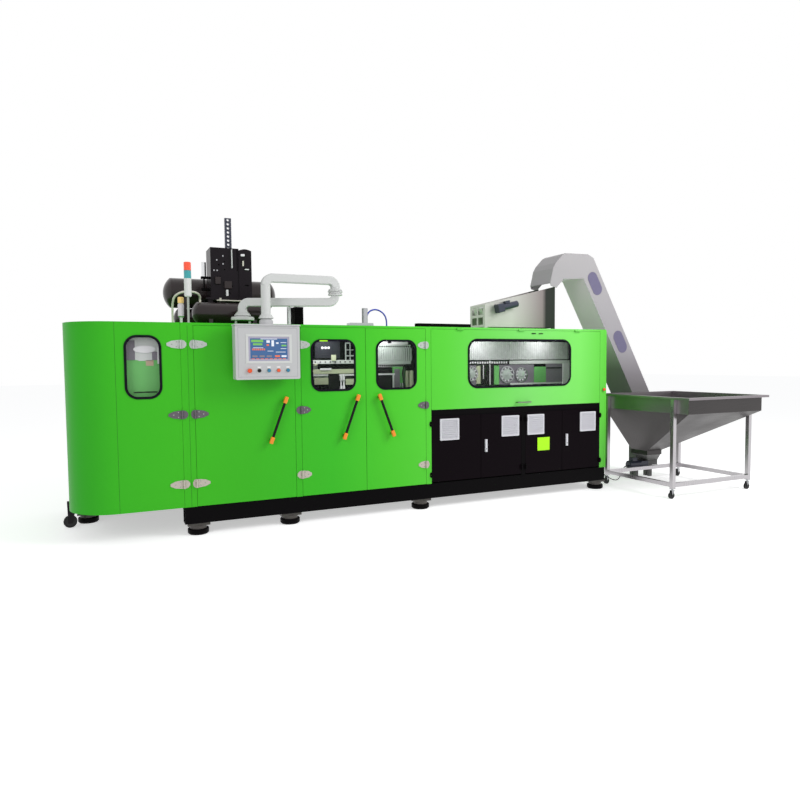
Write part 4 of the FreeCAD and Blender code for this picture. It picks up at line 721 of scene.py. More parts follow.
class Piece:
    """Collects closed shapes in machine millimetres and makes one scene object of them."""

    def __init__(self, name: str) -> None:
        """Starts empty."""
        self.name = name
        self.mesh = bmesh.new()

    def box(self, x: Span, y: Span, z: Span, bevel: float = 0.0) -> "Piece":
        """Adds a box.

        Args:
            x, y, z: its extent along each axis.
            bevel: the width of its rounded edges.
        Returns:
            The piece.
        """
        made = bmesh.ops.create_cube(self.mesh, size=1.0)["verts"]
        size = Vector((x[1] - x[0], y[1] - y[0], z[1] - z[0]))
        middle = Vector(((x[0] + x[1]) / 2, (y[0] + y[1]) / 2, (z[0] + z[1]) / 2))
        for vert in made:
            vert.co = vert.co * size + middle
        if bevel > 0:
            edges = list({edge for vert in made for edge in vert.link_edges})
            bmesh.ops.bevel(self.mesh, geom=edges, offset=bevel, segments=2, affect="EDGES", profile=0.6)
        return self

    def plates(self, y: Span, rows: Sequence[Row], bevel: float = 0.0) -> "Piece":
        """Adds upright plates that face the front.

        Args:
            y: the depth that all of them share.
            rows: left, right, low and high of each.
            bevel: the width of their rounded edges.
        Returns:
            The piece.
        """
        for left, right, low, high in rows:
            self.box((left, right), y, (low, high), bevel)
        return self

    def border(self, y: Span, row: Row, widths: Span, lap: float = 0.0, bevel: float = 0.0) -> "Piece":
        """Adds an upright frame of four bars.

        Args:
            y: its depth.
            row: its outer left, right, low and high.
            widths: how wide its upright bars are, and how tall its level ones.
            lap: how far the upright bars run into the level ones.
            bevel: the width of the bars' rounded edges.
        Returns:
            The piece.
        """
        left, right, low, high = row
        side, rail = widths
        lower, upper = low + rail - lap, high - rail + lap
        return self.plates(y, [(left, right, low, low + rail), (left, right, high - rail, high),
                               (left, left + side, lower, upper), (right - side, right, lower, upper)], bevel)

    def _rings(self, centre: Point, axis: Side, profile: Sequence[Span],
               steps: int) -> list[list[bmesh.types.BMVert]]:
        """Vertices round an axis.

        Args:
            centre: a point on the axis.
            axis: the axis's direction.
            profile: (radius, distance along the axis) of each ring.
            steps: vertices in a ring, though a ring of no radius has one.
        Returns:
            The rings' vertices.
        """
        turn = Vector(axis.value).to_track_quat("Z", "Y").to_matrix()
        rings = []
        for radius, along in profile:
            angles = [2 * math.pi * step / steps for step in range(steps if radius > 0 else 1)]
            places = [turn @ Vector((radius * math.cos(a), radius * math.sin(a), along)) for a in angles]
            rings.append([self.mesh.verts.new(place + Vector(centre)) for place in places])
        return rings

    def lathe(self, centre: Point, axis: Side, profile: Sequence[Span], steps: int = 32) -> "Piece":
        """Adds a shape turned about an axis.

        Args:
            centre: a point on the axis.
            axis: the axis's direction.
            profile: (radius, distance along the axis) points, closed on the axis at both ends.
            steps: faces round the axis.
        Returns:
            The piece.
        """
        rings = self._rings(centre, axis, profile, steps)
        for lower, upper in zip(rings, rings[1:]):
            for step in range(steps):
                follow = (step + 1) % steps
                corners = [lower[step % len(lower)], lower[follow % len(lower)],
                           upper[follow % len(upper)], upper[step % len(upper)]]
                self.mesh.faces.new(list(dict.fromkeys(corners)))
        return self

    def ring(self, centre: Point, axis: Side, radii: Span, along: Span, steps: int = 32) -> "Piece":
        """Adds a flat ring.

        Args:
            centre: a point on the axis.
            axis: the axis's direction.
            radii: its inner and outer radius.
            along: where it starts and ends along the axis.
            steps: faces round the axis.
        Returns:
            The piece.
        """
        (inner, outer), (low, high) = radii, along
        rings = self._rings(centre, axis, [(inner, low), (outer, low), (outer, high), (inner, high)], steps)
        for step in range(steps):
            for here, there in zip(rings, rings[1:] + rings[:1]):
                follow = (step + 1) % steps
                self.mesh.faces.new([here[step], here[follow], there[follow], there[step]])
        return self

    def tube(self, points: Sequence[Point], radius: float, steps: int = 12) -> "Piece":
        """Adds a round bar that follows points.

        Args:
            points: its middle line.
            radius: its radius.
            steps: faces round it.
        Returns:
            The piece.
        """
        path = [Vector(p) for p in points]
        rings = []
        side = Vector((0.0, 0.0, 1.0))
        for index, here in enumerate(path):
            before, after = path[max(index - 1, 0)], path[min(index + 1, len(path) - 1)]
            along = (after - before).normalized()
            if abs(along.dot(side)) > 0.95:
                side = Vector((1.0, 0.0, 0.0))
            right = along.cross(side).normalized()
            side = right.cross(along).normalized()
            rings.append([self.mesh.verts.new(here + right * radius * math.cos(2 * math.pi * k / steps)
                                              + side * radius * math.sin(2 * math.pi * k / steps))
                          for k in range(steps)])
        for lower, higher in zip(rings, rings[1:]):
            for k in range(steps):
                self.mesh.faces.new([lower[k], lower[(k + 1) % steps], higher[(k + 1) % steps], higher[k]])
        self.mesh.faces.new(list(reversed(rings[0])))
        self.mesh.faces.new(rings[-1])
        return self

    def placed(self, place: Point, angle: float = 0.0, stretch: float = 1.0, start: int = 0) -> "Piece":
        """Stretches, turns and moves what the piece holds.

        Args:
            place: where its zero goes.
            angle: the turn about Y, in radians.
            stretch: how many times as wide it gets along X.
            start: how many of its vertices stay as they are.
        Returns:
            The piece.
        """
        verts = list(self.mesh.verts)[start:]
        bmesh.ops.scale(self.mesh, vec=Vector((stretch, 1.0, 1.0)), verts=verts)
        bmesh.ops.rotate(self.mesh, cent=Vector(), matrix=Matrix.Rotation(angle, 3, "Y"), verts=verts)
        bmesh.ops.translate(self.mesh, vec=Vector(place), verts=verts)
        return self

    def done(self, finish: str, mount: Mount, smooth: bool = False) -> None:
        """Makes the object.

        Args:
            finish: its finish.
            mount: its body and slot.
            smooth: whether round sides are shaded smooth.
        """
        for vert in self.mesh.verts:
            vert.co = MACHINE.at(*vert.co)
        bmesh.ops.recalc_face_normals(self.mesh, faces=self.mesh.faces)
        data = bpy.data.meshes.new(self.name)
        self.mesh.to_mesh(data)
        self.mesh.free()
        made = add_object(self.name, data)
        if smooth:
            data.shade_smooth()
            data.set_sharp_from_angle(angle=math.radians(35))
        data.materials.append(FINISHES.get(finish))
        settle(made, mount)


def lay_plates(mount: Mount, sheets: Sequence[tuple[str, str, Span, Sequence[Row]]],
               bevel: float = 1.0) -> None:
    """Makes pieces of upright plates from the name, finish, depth and rows of each."""
    for name, finish, depth, rows in sheets:
        Piece(name).plates(depth, rows, bevel).done(finish, mount)


# ---- repeats ----
class Pattern(Group):
    """A geometry node group with named inputs that copies a small shape to each point of its input."""

    def __init__(self, name: str, inputs: dict[str, object]) -> None:
        """Starts the group with its sockets.

        Args:
            name: the group's name.
            inputs: default values of its sizes by name.
        """
        super().__init__(name, "GeometryNodeTree",
                         {"Geometry": Socket.GEOMETRY, "Material": Socket.MATERIAL, **inputs},
                         {"Geometry": Socket.GEOMETRY})

    def facing(self) -> bpy.types.NodeSocket:
        """The turn that stands a shape's Z axis along the group's direction."""
        return self.add("FunctionNodeAlignRotationToVector", {"Vector": self.given["Direction"]},
                        axis="Z").outputs["Rotation"]

    def copies(self, points: bpy.types.NodeSocket, shape: bpy.types.NodeSocket,
               **turn: bpy.types.NodeSocket) -> bpy.types.NodeSocket:
        """Copies of a shape on points, turned where Rotation is given."""
        inputs = {"Points": points, "Instance": shape, **turn}
        return self.add("GeometryNodeInstanceOnPoints", inputs).outputs[0]

    def row(self, shape: bpy.types.NodeSocket, rotation: bpy.types.NodeSocket) -> bpy.types.NodeSocket:
        """A row of turned shapes, by the group's count and pitch."""
        line = self.add("GeometryNodeMeshLine", {"Count": self.given["Count"], "Offset": self.given["Pitch"]})
        return self.copies(line.outputs[0], shape, Rotation=rotation)

    def close(self, shape: bpy.types.NodeSocket) -> None:
        """Realises the copies and gives them their material.

        Args:
            shape: the copies.
        """
        real = self.add("GeometryNodeRealizeInstances", {0: shape}).outputs[0]
        self.give(Geometry=self.add("GeometryNodeSetMaterial", {
            "Geometry": real, "Material": self.given["Material"]}).outputs[0])

    def make(self, name: str, points: Sequence[Point], finish: str, mount: Mount, **values: object) -> None:
        """Runs the group on points and keeps the plain mesh.

        Args:
            name: the piece's name.
            points: machine points that get a copy each.
            finish: the copies' finish.
            mount: the piece's body and slot.
            values: the group's inputs by name, in metres or radians.
        """
        data = bpy.data.meshes.new(name + "_points")
        data.from_pydata([tuple(p) for p in MACHINE.all(points)], [], [])
        carrier = add_object(name + "_points", data)
        modifier = carrier.modifiers.new("pattern", "NODES")
        modifier.node_group = self.tree
        modifier[self.sockets["Material"]] = FINISHES.get(finish)
        for label, value in values.items():
            modifier[self.sockets[label]] = value
        plain = bpy.data.meshes.new_from_object(carrier.evaluated_get(bpy.context.evaluated_depsgraph_get()))
        plain.name = name
        made = add_object(name, plain)
        bpy.data.objects.remove(carrier)
        settle(made, mount)


class ScrewHeads(Pattern):
    """Cap screws: a round head with a hexagon on it, one at each point."""

    def __init__(self) -> None:
        """Builds the group."""
        super().__init__("screw_heads", {"Radius": 0.006, "Height": 0.004, "Direction": Side.FRONT.value})
        shapes = self.add("GeometryNodeJoinGeometry")
        for sides, share, rise in ((12, 1.0, 1.0), (6, 0.55, 1.35)):
            radius = self.maths("MULTIPLY", self.given["Radius"], share)
            depth = self.maths("MULTIPLY", self.given["Height"], rise * 2.0)
            head = self.add("GeometryNodeMeshCylinder", {"Vertices": sides, "Radius": radius, "Depth": depth})
            self.fill(shapes, {0: head.outputs["Mesh"]})
        self.close(self.copies(self.given["Geometry"], shapes.outputs[0], Rotation=self.facing()))


class SlatRows(Pattern):
    """Rows of slats: at each point a row of equal bars, a pitch apart."""

    def __init__(self) -> None:
        """Builds the group."""
        super().__init__("slat_rows", {"Count": 10, "Pitch": (0.0, 0.0, 0.01), "Size": (0.2, 0.002, 0.005),
                                       "Tilt": (0.0, 0.0, 0.0)})
        bar = self.add("GeometryNodeMeshCube", {"Size": self.given["Size"]}).outputs["Mesh"]
        self.close(self.copies(self.given["Geometry"], self.row(bar, self.given["Tilt"])))


class DotRows(Pattern):
    """Rows of round holes or dots: at each point a row, a pitch apart."""

    def __init__(self) -> None:
        """Builds the group."""
        super().__init__("dot_rows", {"Count": 1, "Pitch": (0.02, 0.0, 0.0), "Radius": 0.004,
                                      "Direction": Side.FRONT.value})
        dot = self.add("GeometryNodeMeshCylinder", {"Vertices": 10, "Depth": 0.001,
                                                    "Radius": self.given["Radius"]}).outputs["Mesh"]
        self.close(self.copies(self.given["Geometry"], self.row(dot, self.facing())))


SCREWS = ScrewHeads()
SLATS = SlatRows()
DOTS = DotRows()


# ---- cabinet and doors ----
@dataclass
class Cabinet:
    """The cabinet's frame, panels, base and their seams."""

    roof_low: float = 2110.0
    post_seam_x: float = 1110.0
    cover_seam_x: float = 450.0
    panel_low: float = 300.0
    oven_x: Span = (3790, 6450)
    lower_hinge_z: Span = (300, 1120)
    upper_hinge_z: Span = (2080, 2200)
    tray: Area = Area((3700, 4500), (170, 270), (2134.5, 2200))
    post_fronts: Area = Area(y=(-20, 2.5))
    end_post: Area = Area(x=(6436, 6460))
    rear_skin: Area = Area(y=(1899.5, 1901))
    end_skin: Area = Area(x=(6449.5, 6451))
    cable_gland: Area = Area(x=(6451, 6470))
    foot_stems: Area = Area(z=(60, 118))
    table_top: Area = Area(z=(1155, 1170))

    def dress(self) -> None:
        """Finishes of the fixed panels, frame, base and feet."""
        dress("cabinet_frame", "black_paint", (self.post_fronts, "green_paint"),
              (self.end_post, "green_paint"))
        dress("roof_panel", "green_paint", (self.tray, "black_paint"))
        # painted shade: the inner panels are black to keep the inside dark behind the windows
        dress("fixed_panels", "black_paint", (self.rear_skin, "green_paint"), (self.end_skin, "green_paint"))
        dress("rear_end_cover", "green_paint")
        dress("base_frame", "black_paint", (self.cable_gland, "machined_steel"))
        dress("levelling_feet", "black_paint", (self.foot_stems, "foot_steel"))
        dress("work_table", "black_paint", (self.table_top, "machined_steel"))
        dress("frame_hinge_leaves", "hinge_leaf", (Area(x=self.oven_x, z=self.lower_hinge_z), "black_paint"),
              (Area(x=self.oven_x, z=self.upper_hinge_z), "green_paint"))
        dress("emergency_stop", "red_plastic")

    def build(self) -> None:
        """Dresses the cabinet and draws dark seam lines where its sheets meet."""
        self.dress()
        for name, x, back, top, body in (
                ("panel_seams", self.post_seam_x, 0.2, self.roof_low - 2, "machine"),
                ("cover_seam", self.cover_seam_x, 0.4, self.roof_low + 22, "left_cover")):
            seam = Piece(name).box((x - 1, x + 1), (-0.6, back), (self.panel_low, top))
            seam.done("shadow_line", Mount(body, "green_paint"))


@dataclass
class Hinges:
    """The moving hinge leaves of a door or cover."""

    body: str
    pivot: float
    way: int
    reach: float
    levels: tuple[float, ...] = (532.0, 1226.0, 1920.0)
    screw_places: tuple[Span, ...] = ((0.28, 24.0), (0.28, -24.0), (0.62, 0.0))

    def span(self) -> Span:
        """The X extent of the leaves."""
        ends = self.pivot + self.way * (self.reach + 5), self.pivot - self.way * 14
        return min(ends), max(ends)

    def screws(self) -> None:
        """Screws through the leaves."""
        points = [(self.pivot + self.way * self.reach * share, -6.0, level + rise)
                  for level in self.levels for share, rise in self.screw_places]
        SCREWS.make(self.body + "_hinge_screws", points, "chrome", Mount(self.body, "hinge_chrome"),
                    Radius=0.006, Height=0.0015, Direction=Side.FRONT.value)


@dataclass
class Door:
    """One hinged door with its slanting handle, hinge leaves and window."""

    hinges: Hinges
    handle_x: float
    lean: float
    windowed: bool = True
    handle_low: float = 901.0
    handle_high: float = 1364.0
    grip_y: Span = (-69.0, -33.0)
    end_x: Span = (-20.0, 20.0)
    end_lows: Span = (-506.0, -62.0)
    end_length: float = 74.0
    end_rounding: float = 9.0
    leaf_y: Span = (-26.0, 0.5)

    def handle_ends(self) -> None:
        """Orange ends on the slanting black handle."""
        body = self.hinges.body
        ends = Piece(body + "_handle_ends")
        for low in self.end_lows:
            ends.box(self.end_x, self.grip_y, (low, low + self.end_length), self.end_rounding)
        slant = math.atan2(self.lean, self.handle_high - self.handle_low)
        ends.placed((self.handle_x, 0, self.handle_high), slant)
        ends.done("orange_plastic", Mount(body, "handle_plastic"), smooth=True)

    def build(self) -> None:
        """Dresses the door and adds its screws and handle ends."""
        body = self.hinges.body
        dress(body, "green_paint", (FOLDED_BACK, "green_inside_shaded"))
        dress(body + "_fittings", "black_plastic", (Area(self.hinges.span(), self.leaf_y), "hinge_leaf"))
        if self.windowed:
            dress(body + "_window", "clear_pane", (PANE_RIM, "gasket_rubber"))
        self.hinges.screws()
        self.handle_ends()


@dataclass
class EndCover:
    """The rounded end cover on its caster, with what shows through its window."""

    hinges: Hinges
    # the cover's inner faces, which take the painted shade of the green
    hollow: Area = Area(z=(0, 2109), toward=(700.0, 600.0, 1200.0))
    leaves: Area = Area(x=(900, 1060), y=(-30, -0.5))
    caster_plate: Area = Area(z=(0, 297), y=(900, 1010))
    liner_x: Span = (505.0, 905.0)
    liner_z: Span = (1370.0, 2040.0)
    liner_y: Span = (88.0, 92.0)
    fitting_y: Span = (84.0, 87.9)
    split: float = 1768.0
    lamp: Point = (718.0, 76.0, 1873.0)

    def dress(self) -> None:
        """Finishes of the cover, its window and its caster."""
        dress("left_cover", "green_paint", (self.hollow, "green_inside_shaded"), (self.leaves, "hinge_leaf"),
              (self.caster_plate, "machined_steel"))
        dress("cover_window", "clear_pane", (PANE_RIM, "gasket_rubber"))
        dress("cover_caster_fork", "black_plastic")
        dress("cover_caster_wheel", "wheel_rubber")

    def liner(self) -> None:
        """The sheets, lamp and bracket behind the window."""
        (left, right), (low, high), split = self.liner_x, self.liner_z, self.split
        lay_plates(ON_COVER, (
            ("liner_lower_sheet", "lit_green", self.liner_y, [(left, right, low, split)]),
            ("liner_upper_sheet", "lit_grey", self.liner_y, [(left, right, split, high)]),
            ("liner_side_shade", "shaded_grey", self.fitting_y, [(left, 631, split, 1960),
                                                                 (785, 833, split, 1850)]),
            ("liner_slot", "shadow_line", self.fitting_y, [(612, 825, 1449, 1461)]),
            ("liner_side_bar", "lit_white", self.fitting_y, [(833, 864, 1731, 1891)]),
            ("liner_bracket", "lit_grey", self.fitting_y, [(660, 785, 1760, 1840)]),
            ("liner_clip", "tan_clip", self.fitting_y, [(727, 797, 1712, 1767)])), 0.6)
        lay_plates(ON_COVER, [("liner_returns", "shaded_grey", (3.0, self.liner_y[0]),
                               [(left, left + 2, low, high), (right - 2, right, low, high)])], 0.0)
        lamp = Piece("liner_lamp")
        lamp.lathe((0, 0, 0), Side.FRONT, [(0, -6), (30, -6), (36, -2), (36, 4), (0, 6)], 28)
        lamp.placed(self.lamp, stretch=2.85).done("lit_white", ON_COVER, smooth=True)

    def build(self) -> None:
        """Builds and dresses the cover."""
        self.dress()
        self.hinges.screws()
        self.liner()


@dataclass
class OvenFront:
    """The lift-up oven cover and the four dark doors with their filter grilles and locks."""

    grille_left: tuple[float, ...] = (3926.0, 4786.4, 5170.4, 6007.0)
    grille_low: float = 800.0
    grille_side: float = 255.0
    grille_rim: float = 16.0
    grille_face: float = -14.0
    slat_count: int = 30
    grille_y: Span = (-20.0, -0.5)
    lock_left: tuple[tuple[int, float], ...] = ((2, 4543.0), (4, 5771.0))
    lock_width: float = 32.0
    lock_y: Span = (-30.0, -0.5)
    lock_z: Span = (627.0, 781.0)
    lock_face: float = -22.1
    keyhole: Span = (15.0, 664.0)
    stay_left: Span = (5235.0, 5345.0)
    stay_width: float = 62.0
    stay_y: Span = (-7.0, -0.2)
    stay_z: Span = (2064.0, 2076.0)
    pull: Area = Area(z=(1180, 1250), y=(-60, -0.5))
    plate_x: Span = (5331.0, 5519.0)
    plate_z: Span = (588.0, 755.0)

    def dress(self) -> None:
        """Finishes of the oven cover and the dark doors."""
        dress("oven_cover", "green_paint", (FOLDED_BACK, "green_inside_shaded"), (self.pull, "pull_metal"))
        dress("oven_window", "clear_pane", (PANE_RIM, "gasket_rubber"))
        low, side = self.grille_low, self.grille_side
        for number, left in enumerate(self.grille_left, 1):
            pale = [Area((left - 1, left + side + 1), self.grille_y, (low - 1, low + side + 1))]
            pale += [Area((lock - 1, lock + self.lock_width), self.lock_y, self.lock_z)
                     for door, lock in self.lock_left if door == number]
            dress(f"lower_door_{number}", "dark_door", *((area, "grille_plastic") for area in pale))

    def fittings(self) -> None:
        """Stay caps on the cover, and a small dark keyhole low in each lock."""
        caps = Piece("cover_stay_caps")
        for x in self.stay_left:
            caps.box((x, x + self.stay_width), self.stay_y, self.stay_z, 2.0)
        caps.done("gasket_rubber", Mount("oven_cover", "green_paint"))
        across, z = self.keyhole
        for number, left in self.lock_left:
            DOTS.make(f"lock_keyhole_{number}", [(left + across, self.lock_face, z)], "gasket_rubber",
                      Mount(f"lower_door_{number}", "dark_panel"), Radius=0.0065)

    def grilles(self) -> None:
        """Fine slats in front of each filter."""
        inner = self.grille_side - 2 * self.grille_rim
        pitch = inner / self.slat_count
        for number, left in enumerate(self.grille_left, 1):
            start = (left + self.grille_side / 2, self.grille_face + 1.6,
                     self.grille_low + self.grille_rim + pitch / 2)
            SLATS.make(f"filter_slats_{number}", [start], "grille_plastic",
                       Mount(f"lower_door_{number}", "dark_panel"), Count=self.slat_count,
                       Pitch=(0.0, 0.0, pitch / 1000), Size=(inner / 1000, 0.0016, pitch * 0.62 / 1000),
                       Tilt=(0.5, 0.0, 0.0))

    def build(self) -> None:
        """Builds and dresses the oven's front, with the plain yellow plate on the third dark door."""
        self.dress()
        self.fittings()
        self.grilles()
        sign = Piece("yellow_plate").box(self.plate_x, (-1.5, -0.2), self.plate_z, 0.5)
        sign.done("yellow_plate", Mount("lower_door_3", "dark_panel"))


# ---- operator panel ----
@dataclass
class OperatorPanel:
    """The panel with its display and buttons, and the two-part arm."""

    drop: Span = (1858.0, -160.0)
    elbow: Span = (2594.0, -170.0)
    base: Span = (1685.0, 150.0)
    width: float = 650.0
    height: float = 540.0
    top: float = 2105.0
    overhang: float = 4.0
    front: float = -245.0
    screen: Span = (420.0, 250.0)
    screen_corner: Span = (0.19, 0.335)
    button_corner: Span = (0.206, 0.165)
    button_pitch: float = 97.0
    button_reach: float = 40.0
    bezel_reach: Span = (22.0, 20.0)
    bezel_bars: Span = (26.0, 24.0)
    border_bars: Span = (22.0, 22.0)
    seam_inset: float = 26.0
    seam_bars: Span = (2.0, 2.0)
    buttons: tuple[str, ...] = ("red_plastic", "black_plastic", "blue_plastic", "red_plastic", "blue_plastic")

    def at(self, shares: Span) -> Span:
        """X and Z of a place on the panel's face, given as shares of its width and height."""
        left, low = self.drop[0] - self.width / 2 - self.overhang, self.top - self.height
        return left + self.width * shares[0], low + self.height * shares[1]

    def dress(self) -> None:
        """Finishes of the arm, the panel and its buttons."""
        for node, finish in (("arm_base", "white_paint"), ("lower_arm", "white_paint"),
                             ("upper_arm", "white_paint"), ("panel_housing", "panel_paint"),
                             ("panel_screen", "display_blue"), ("panel_stop_button", "red_plastic")):
            dress(node, finish)
        first = self.at(self.button_corner)[0]
        middles = [first + k * self.button_pitch for k in range(len(self.buttons))]
        areas = [(Area((x - self.button_reach, x + self.button_reach)), colour)
                 for x, colour in zip(middles, self.buttons)]
        dress("panel_pushbuttons", "blue_plastic", *areas)

    def button_trim(self) -> None:
        """A plain plate, a white field and a collar at every button but the stop button."""
        first, z = self.at(self.button_corner)
        spots = [first + k * self.button_pitch for k in range(1, len(self.buttons))]
        for name, finish, half, depth, rise, bevel in (
                ("button_plates", "pale_plate", 20, (1.2, 0.1), (24, 42), 0.4),
                ("button_legends", "lit_white", 11, (2.0, 1.3), (28, 38), 0.3)):
            rows = [(x - half, x + half, z + rise[0], z + rise[1]) for x in spots]
            plates = Piece(name).plates((self.front - depth[0], self.front - depth[1]), rows, bevel)
            plates.done(finish, ON_PANEL)
        collars = Piece("button_collars")
        for x in spots:
            collars.ring((x, self.front, z), Side.FRONT, (9.5, 21.0), (0.1, 5.0), 24)
        collars.done("chrome", ON_PANEL, smooth=True)

    def frames(self) -> None:
        """The frames round the display and the panel's door line."""
        front, (left, low), (across, up) = self.front, self.at(self.screen_corner), self.screen
        right, high = left + across, low + up
        beside, beyond = self.bezel_reach
        rim = Piece("screen_bezel").border(
            (front - 4, front + 2), (left - beside, right + beside, low - beyond, high + beyond),
            self.bezel_bars, 4, 1.5)
        rim.done("white_paint", ON_PANEL)
        border = Piece("screen_border").border((front + 0.2, front + 2.4), (left, right, low, high),
                                               self.border_bars)
        border.done("lilac_border", ON_PANEL)
        (x0, z0), (x1, z1), inset = self.at((0, 0)), self.at((1, 1)), self.seam_inset
        seam = Piece("panel_door_line").border(
            (front - 0.5, front + 0.5), (x0 + inset, x1 - inset, z0 + inset, z1 - inset), self.seam_bars, 2)
        seam.done("shaded_grey", ON_PANEL)

    def display(self) -> None:
        """Plain coloured fields on the display, as shares of its width and height."""
        left, low = self.at(self.screen_corner)
        across, up = self.screen
        fields: dict[str, list[Row]] = {
            "display_green": [(0.08, 0.76, 0.36, 0.86), (0.12, 0.64, 0.34, 0.72), (0.80, 0.60, 0.92, 0.66)],
            "display_red": [*((0.10 + 0.045 * k, 0.44, 0.13 + 0.045 * k, 0.51) for k in range(7)),
                            (0.44, 0.62, 0.50, 0.68), (0.64, 0.17, 0.76, 0.24),
                            *((0.08 + 0.107 * k, 0.065, 0.155 + 0.107 * k, 0.115) for k in range(8))],
            "display_white": [(0.30, 0.88, 0.70, 0.905), (0.44, 0.74, 0.52, 0.84), (0.56, 0.60, 0.62, 0.84),
                              (0.67, 0.70, 0.73, 0.76), (0.78, 0.74, 0.92, 0.76), (0.78, 0.50, 0.92, 0.52),
                              (0.12, 0.53, 0.36, 0.55), (0.46, 0.40, 0.60, 0.42), (0.66, 0.36, 0.90, 0.38),
                              (0.80, 0.17, 0.92, 0.24)],
            "shaded_grey": [(0.10 + 0.17 * k, 0.17, 0.22 + 0.17 * k, 0.24) for k in range(3)]}
        for finish, boxes in fields.items():
            rows = [(left + across * x0, left + across * x1, low + up * z0, low + up * z1)
                    for x0, z0, x1, z1 in boxes]
            patch = Piece(finish + "_fields").plates((self.front + 1.2, self.front + 1.8), rows)
            patch.done(finish, Mount("operator_panel", "screen_glass"))

    def arm_rings(self) -> None:
        """Raised rings at the arm's turning joints, and a seam under the upper arm."""
        for name, mount, spot, inner, rise, rings in (
                ("elbow_rings", ON_UPPER_ARM, self.elbow, 50.0, 10.0,
                 ((2434.0, 76.0), (2449.0, 72.0), (2468.0, 78.0), (2484.0, 72.0))),
                ("base_rings", ON_LOWER_ARM, self.base, 49.0, 11.0,
                 ((2222.0, 84.0), (2238.0, 72.0), (2252.0, 60.0))),
                ("drop_cup", ON_UPPER_ARM, self.drop, 49.0, 10.0,
                 ((2178.0, 74.0), (2192.0, 66.0), (2204.0, 58.0)))):
            piece = Piece(name)
            for low, outer in rings:
                piece.ring((*spot, 0.0), Side.UP, (inner, outer), (low, low + rise), 40)
            piece.done("white_paint", mount, smooth=True)
        seam = Piece("elbow_seams").ring((*self.elbow, 0.0), Side.UP, (48.2, 49.6), (2512.0, 2516.0), 40)
        seam.done("shaded_grey", ON_UPPER_ARM, smooth=True)

    def build(self) -> None:
        """Builds and dresses the panel and its arm."""
        self.dress()
        self.button_trim()
        self.frames()
        self.display()
        self.arm_rings()


# ---- roof ----
@dataclass
class RoofGear:
    """Tanks, stretch tower, signal tower, air filter, drives and hoses on the roof."""

    tower_corner: Span = (1464.0, 2459.0)
    tower_face: float = 738.0
    drag_chain: Area = Area(z=(3016.5, 3500))
    tie_rod: Area = Area((1500, 1860), (640, 685), (2400, 2450))
    side_cylinder: Area = Area(x=(1370, 1440), z=(2700, 2900))
    transfer_cylinder: Area = Area(x=(2190, 2252))
    transfer_plate: Area = Area(x=(2890, 3200))
    filter_pipe: Area = Area(x=(1000, 1320), y=(262, 460))
    filter_head: Area = Area(y=(160, 240), z=(2336, 2400))
    filter_bowl: Area = Area(y=(160, 240), z=(2200, 2336))
    signal_stem: Area = Area(z=(2134, 2396))
    upper_lens: Area = Area(z=(2657, 2800))

    def dress(self) -> None:
        """Finishes of everything on the roof."""
        dress("air_tanks", "tank_paint")
        dress("blow_tower", "tower_paint", (self.drag_chain, "motor_paint"), (self.tie_rod, "cream_pipe"))
        dress("roof_actuators", "black_paint", (self.transfer_cylinder, "aluminium"),
              (self.side_cylinder, "aluminium"), (self.transfer_plate, "machined_steel"))
        dress("air_filter", "pale_plate", (self.filter_pipe, "cream_pipe"), (self.filter_head, "brass"),
              (self.filter_bowl, "stainless_upright"))
        dress("signal_tower", "pale_plate", (self.signal_stem, "chrome"))
        dress("signal_lenses", "teal_lens", (self.upper_lens, "red_lens"))

    def tower_fittings(self) -> None:
        """Bolts, boxes and small fittings on the tower's face, placed from its lower left corner."""
        (x0, z0), face = self.tower_corner, self.tower_face
        dots = [(x0 + x, face + 12, z0 + z) for x, z in (
            (68, 419), (136, 467), (136, 379), (36, 305), (70, 305), (166, 168), (200, 168))]
        SCREWS.make("tower_bolts", dots, "machined_steel", FIXED_METAL, Radius=0.008, Height=0.005,
                    Direction=Side.FRONT.value)
        thin, thick = (face - 17, face + 13), (face - 14, face + 14)
        for name, finish, depth, bevel, rows in (
                ("tower_slot", "lit_grey", thin, 2.0, [(226, 235, 335, 540)]),
                ("tower_light", "lit_white", thin, 3.0, [(330, 372, 472, 496)]),
                ("tower_cream", "cream_pipe", thin, 3.0, [(346, 362, 362, 420)]),
                ("tower_edge", "lit_grey", thin, 2.0, [(372, 418, 322, 334)]),
                ("tower_boxes", "tank_paint", thick, 8.0, [(44, 104, 150, 234), (142, 226, 104, 188)]),
                ("tower_fitting", "lit_grey", thin, 4.0, [(160, 184, 22, 92)])):
            there = [(x0 + left, x0 + right, z0 + low, z0 + high) for left, right, low, high in rows]
            Piece(name).plates(depth, there, bevel).done(finish, FIXED_METAL)

    def build(self) -> None:
        """Builds and dresses the roof's equipment."""
        self.dress()
        self.tower_fittings()


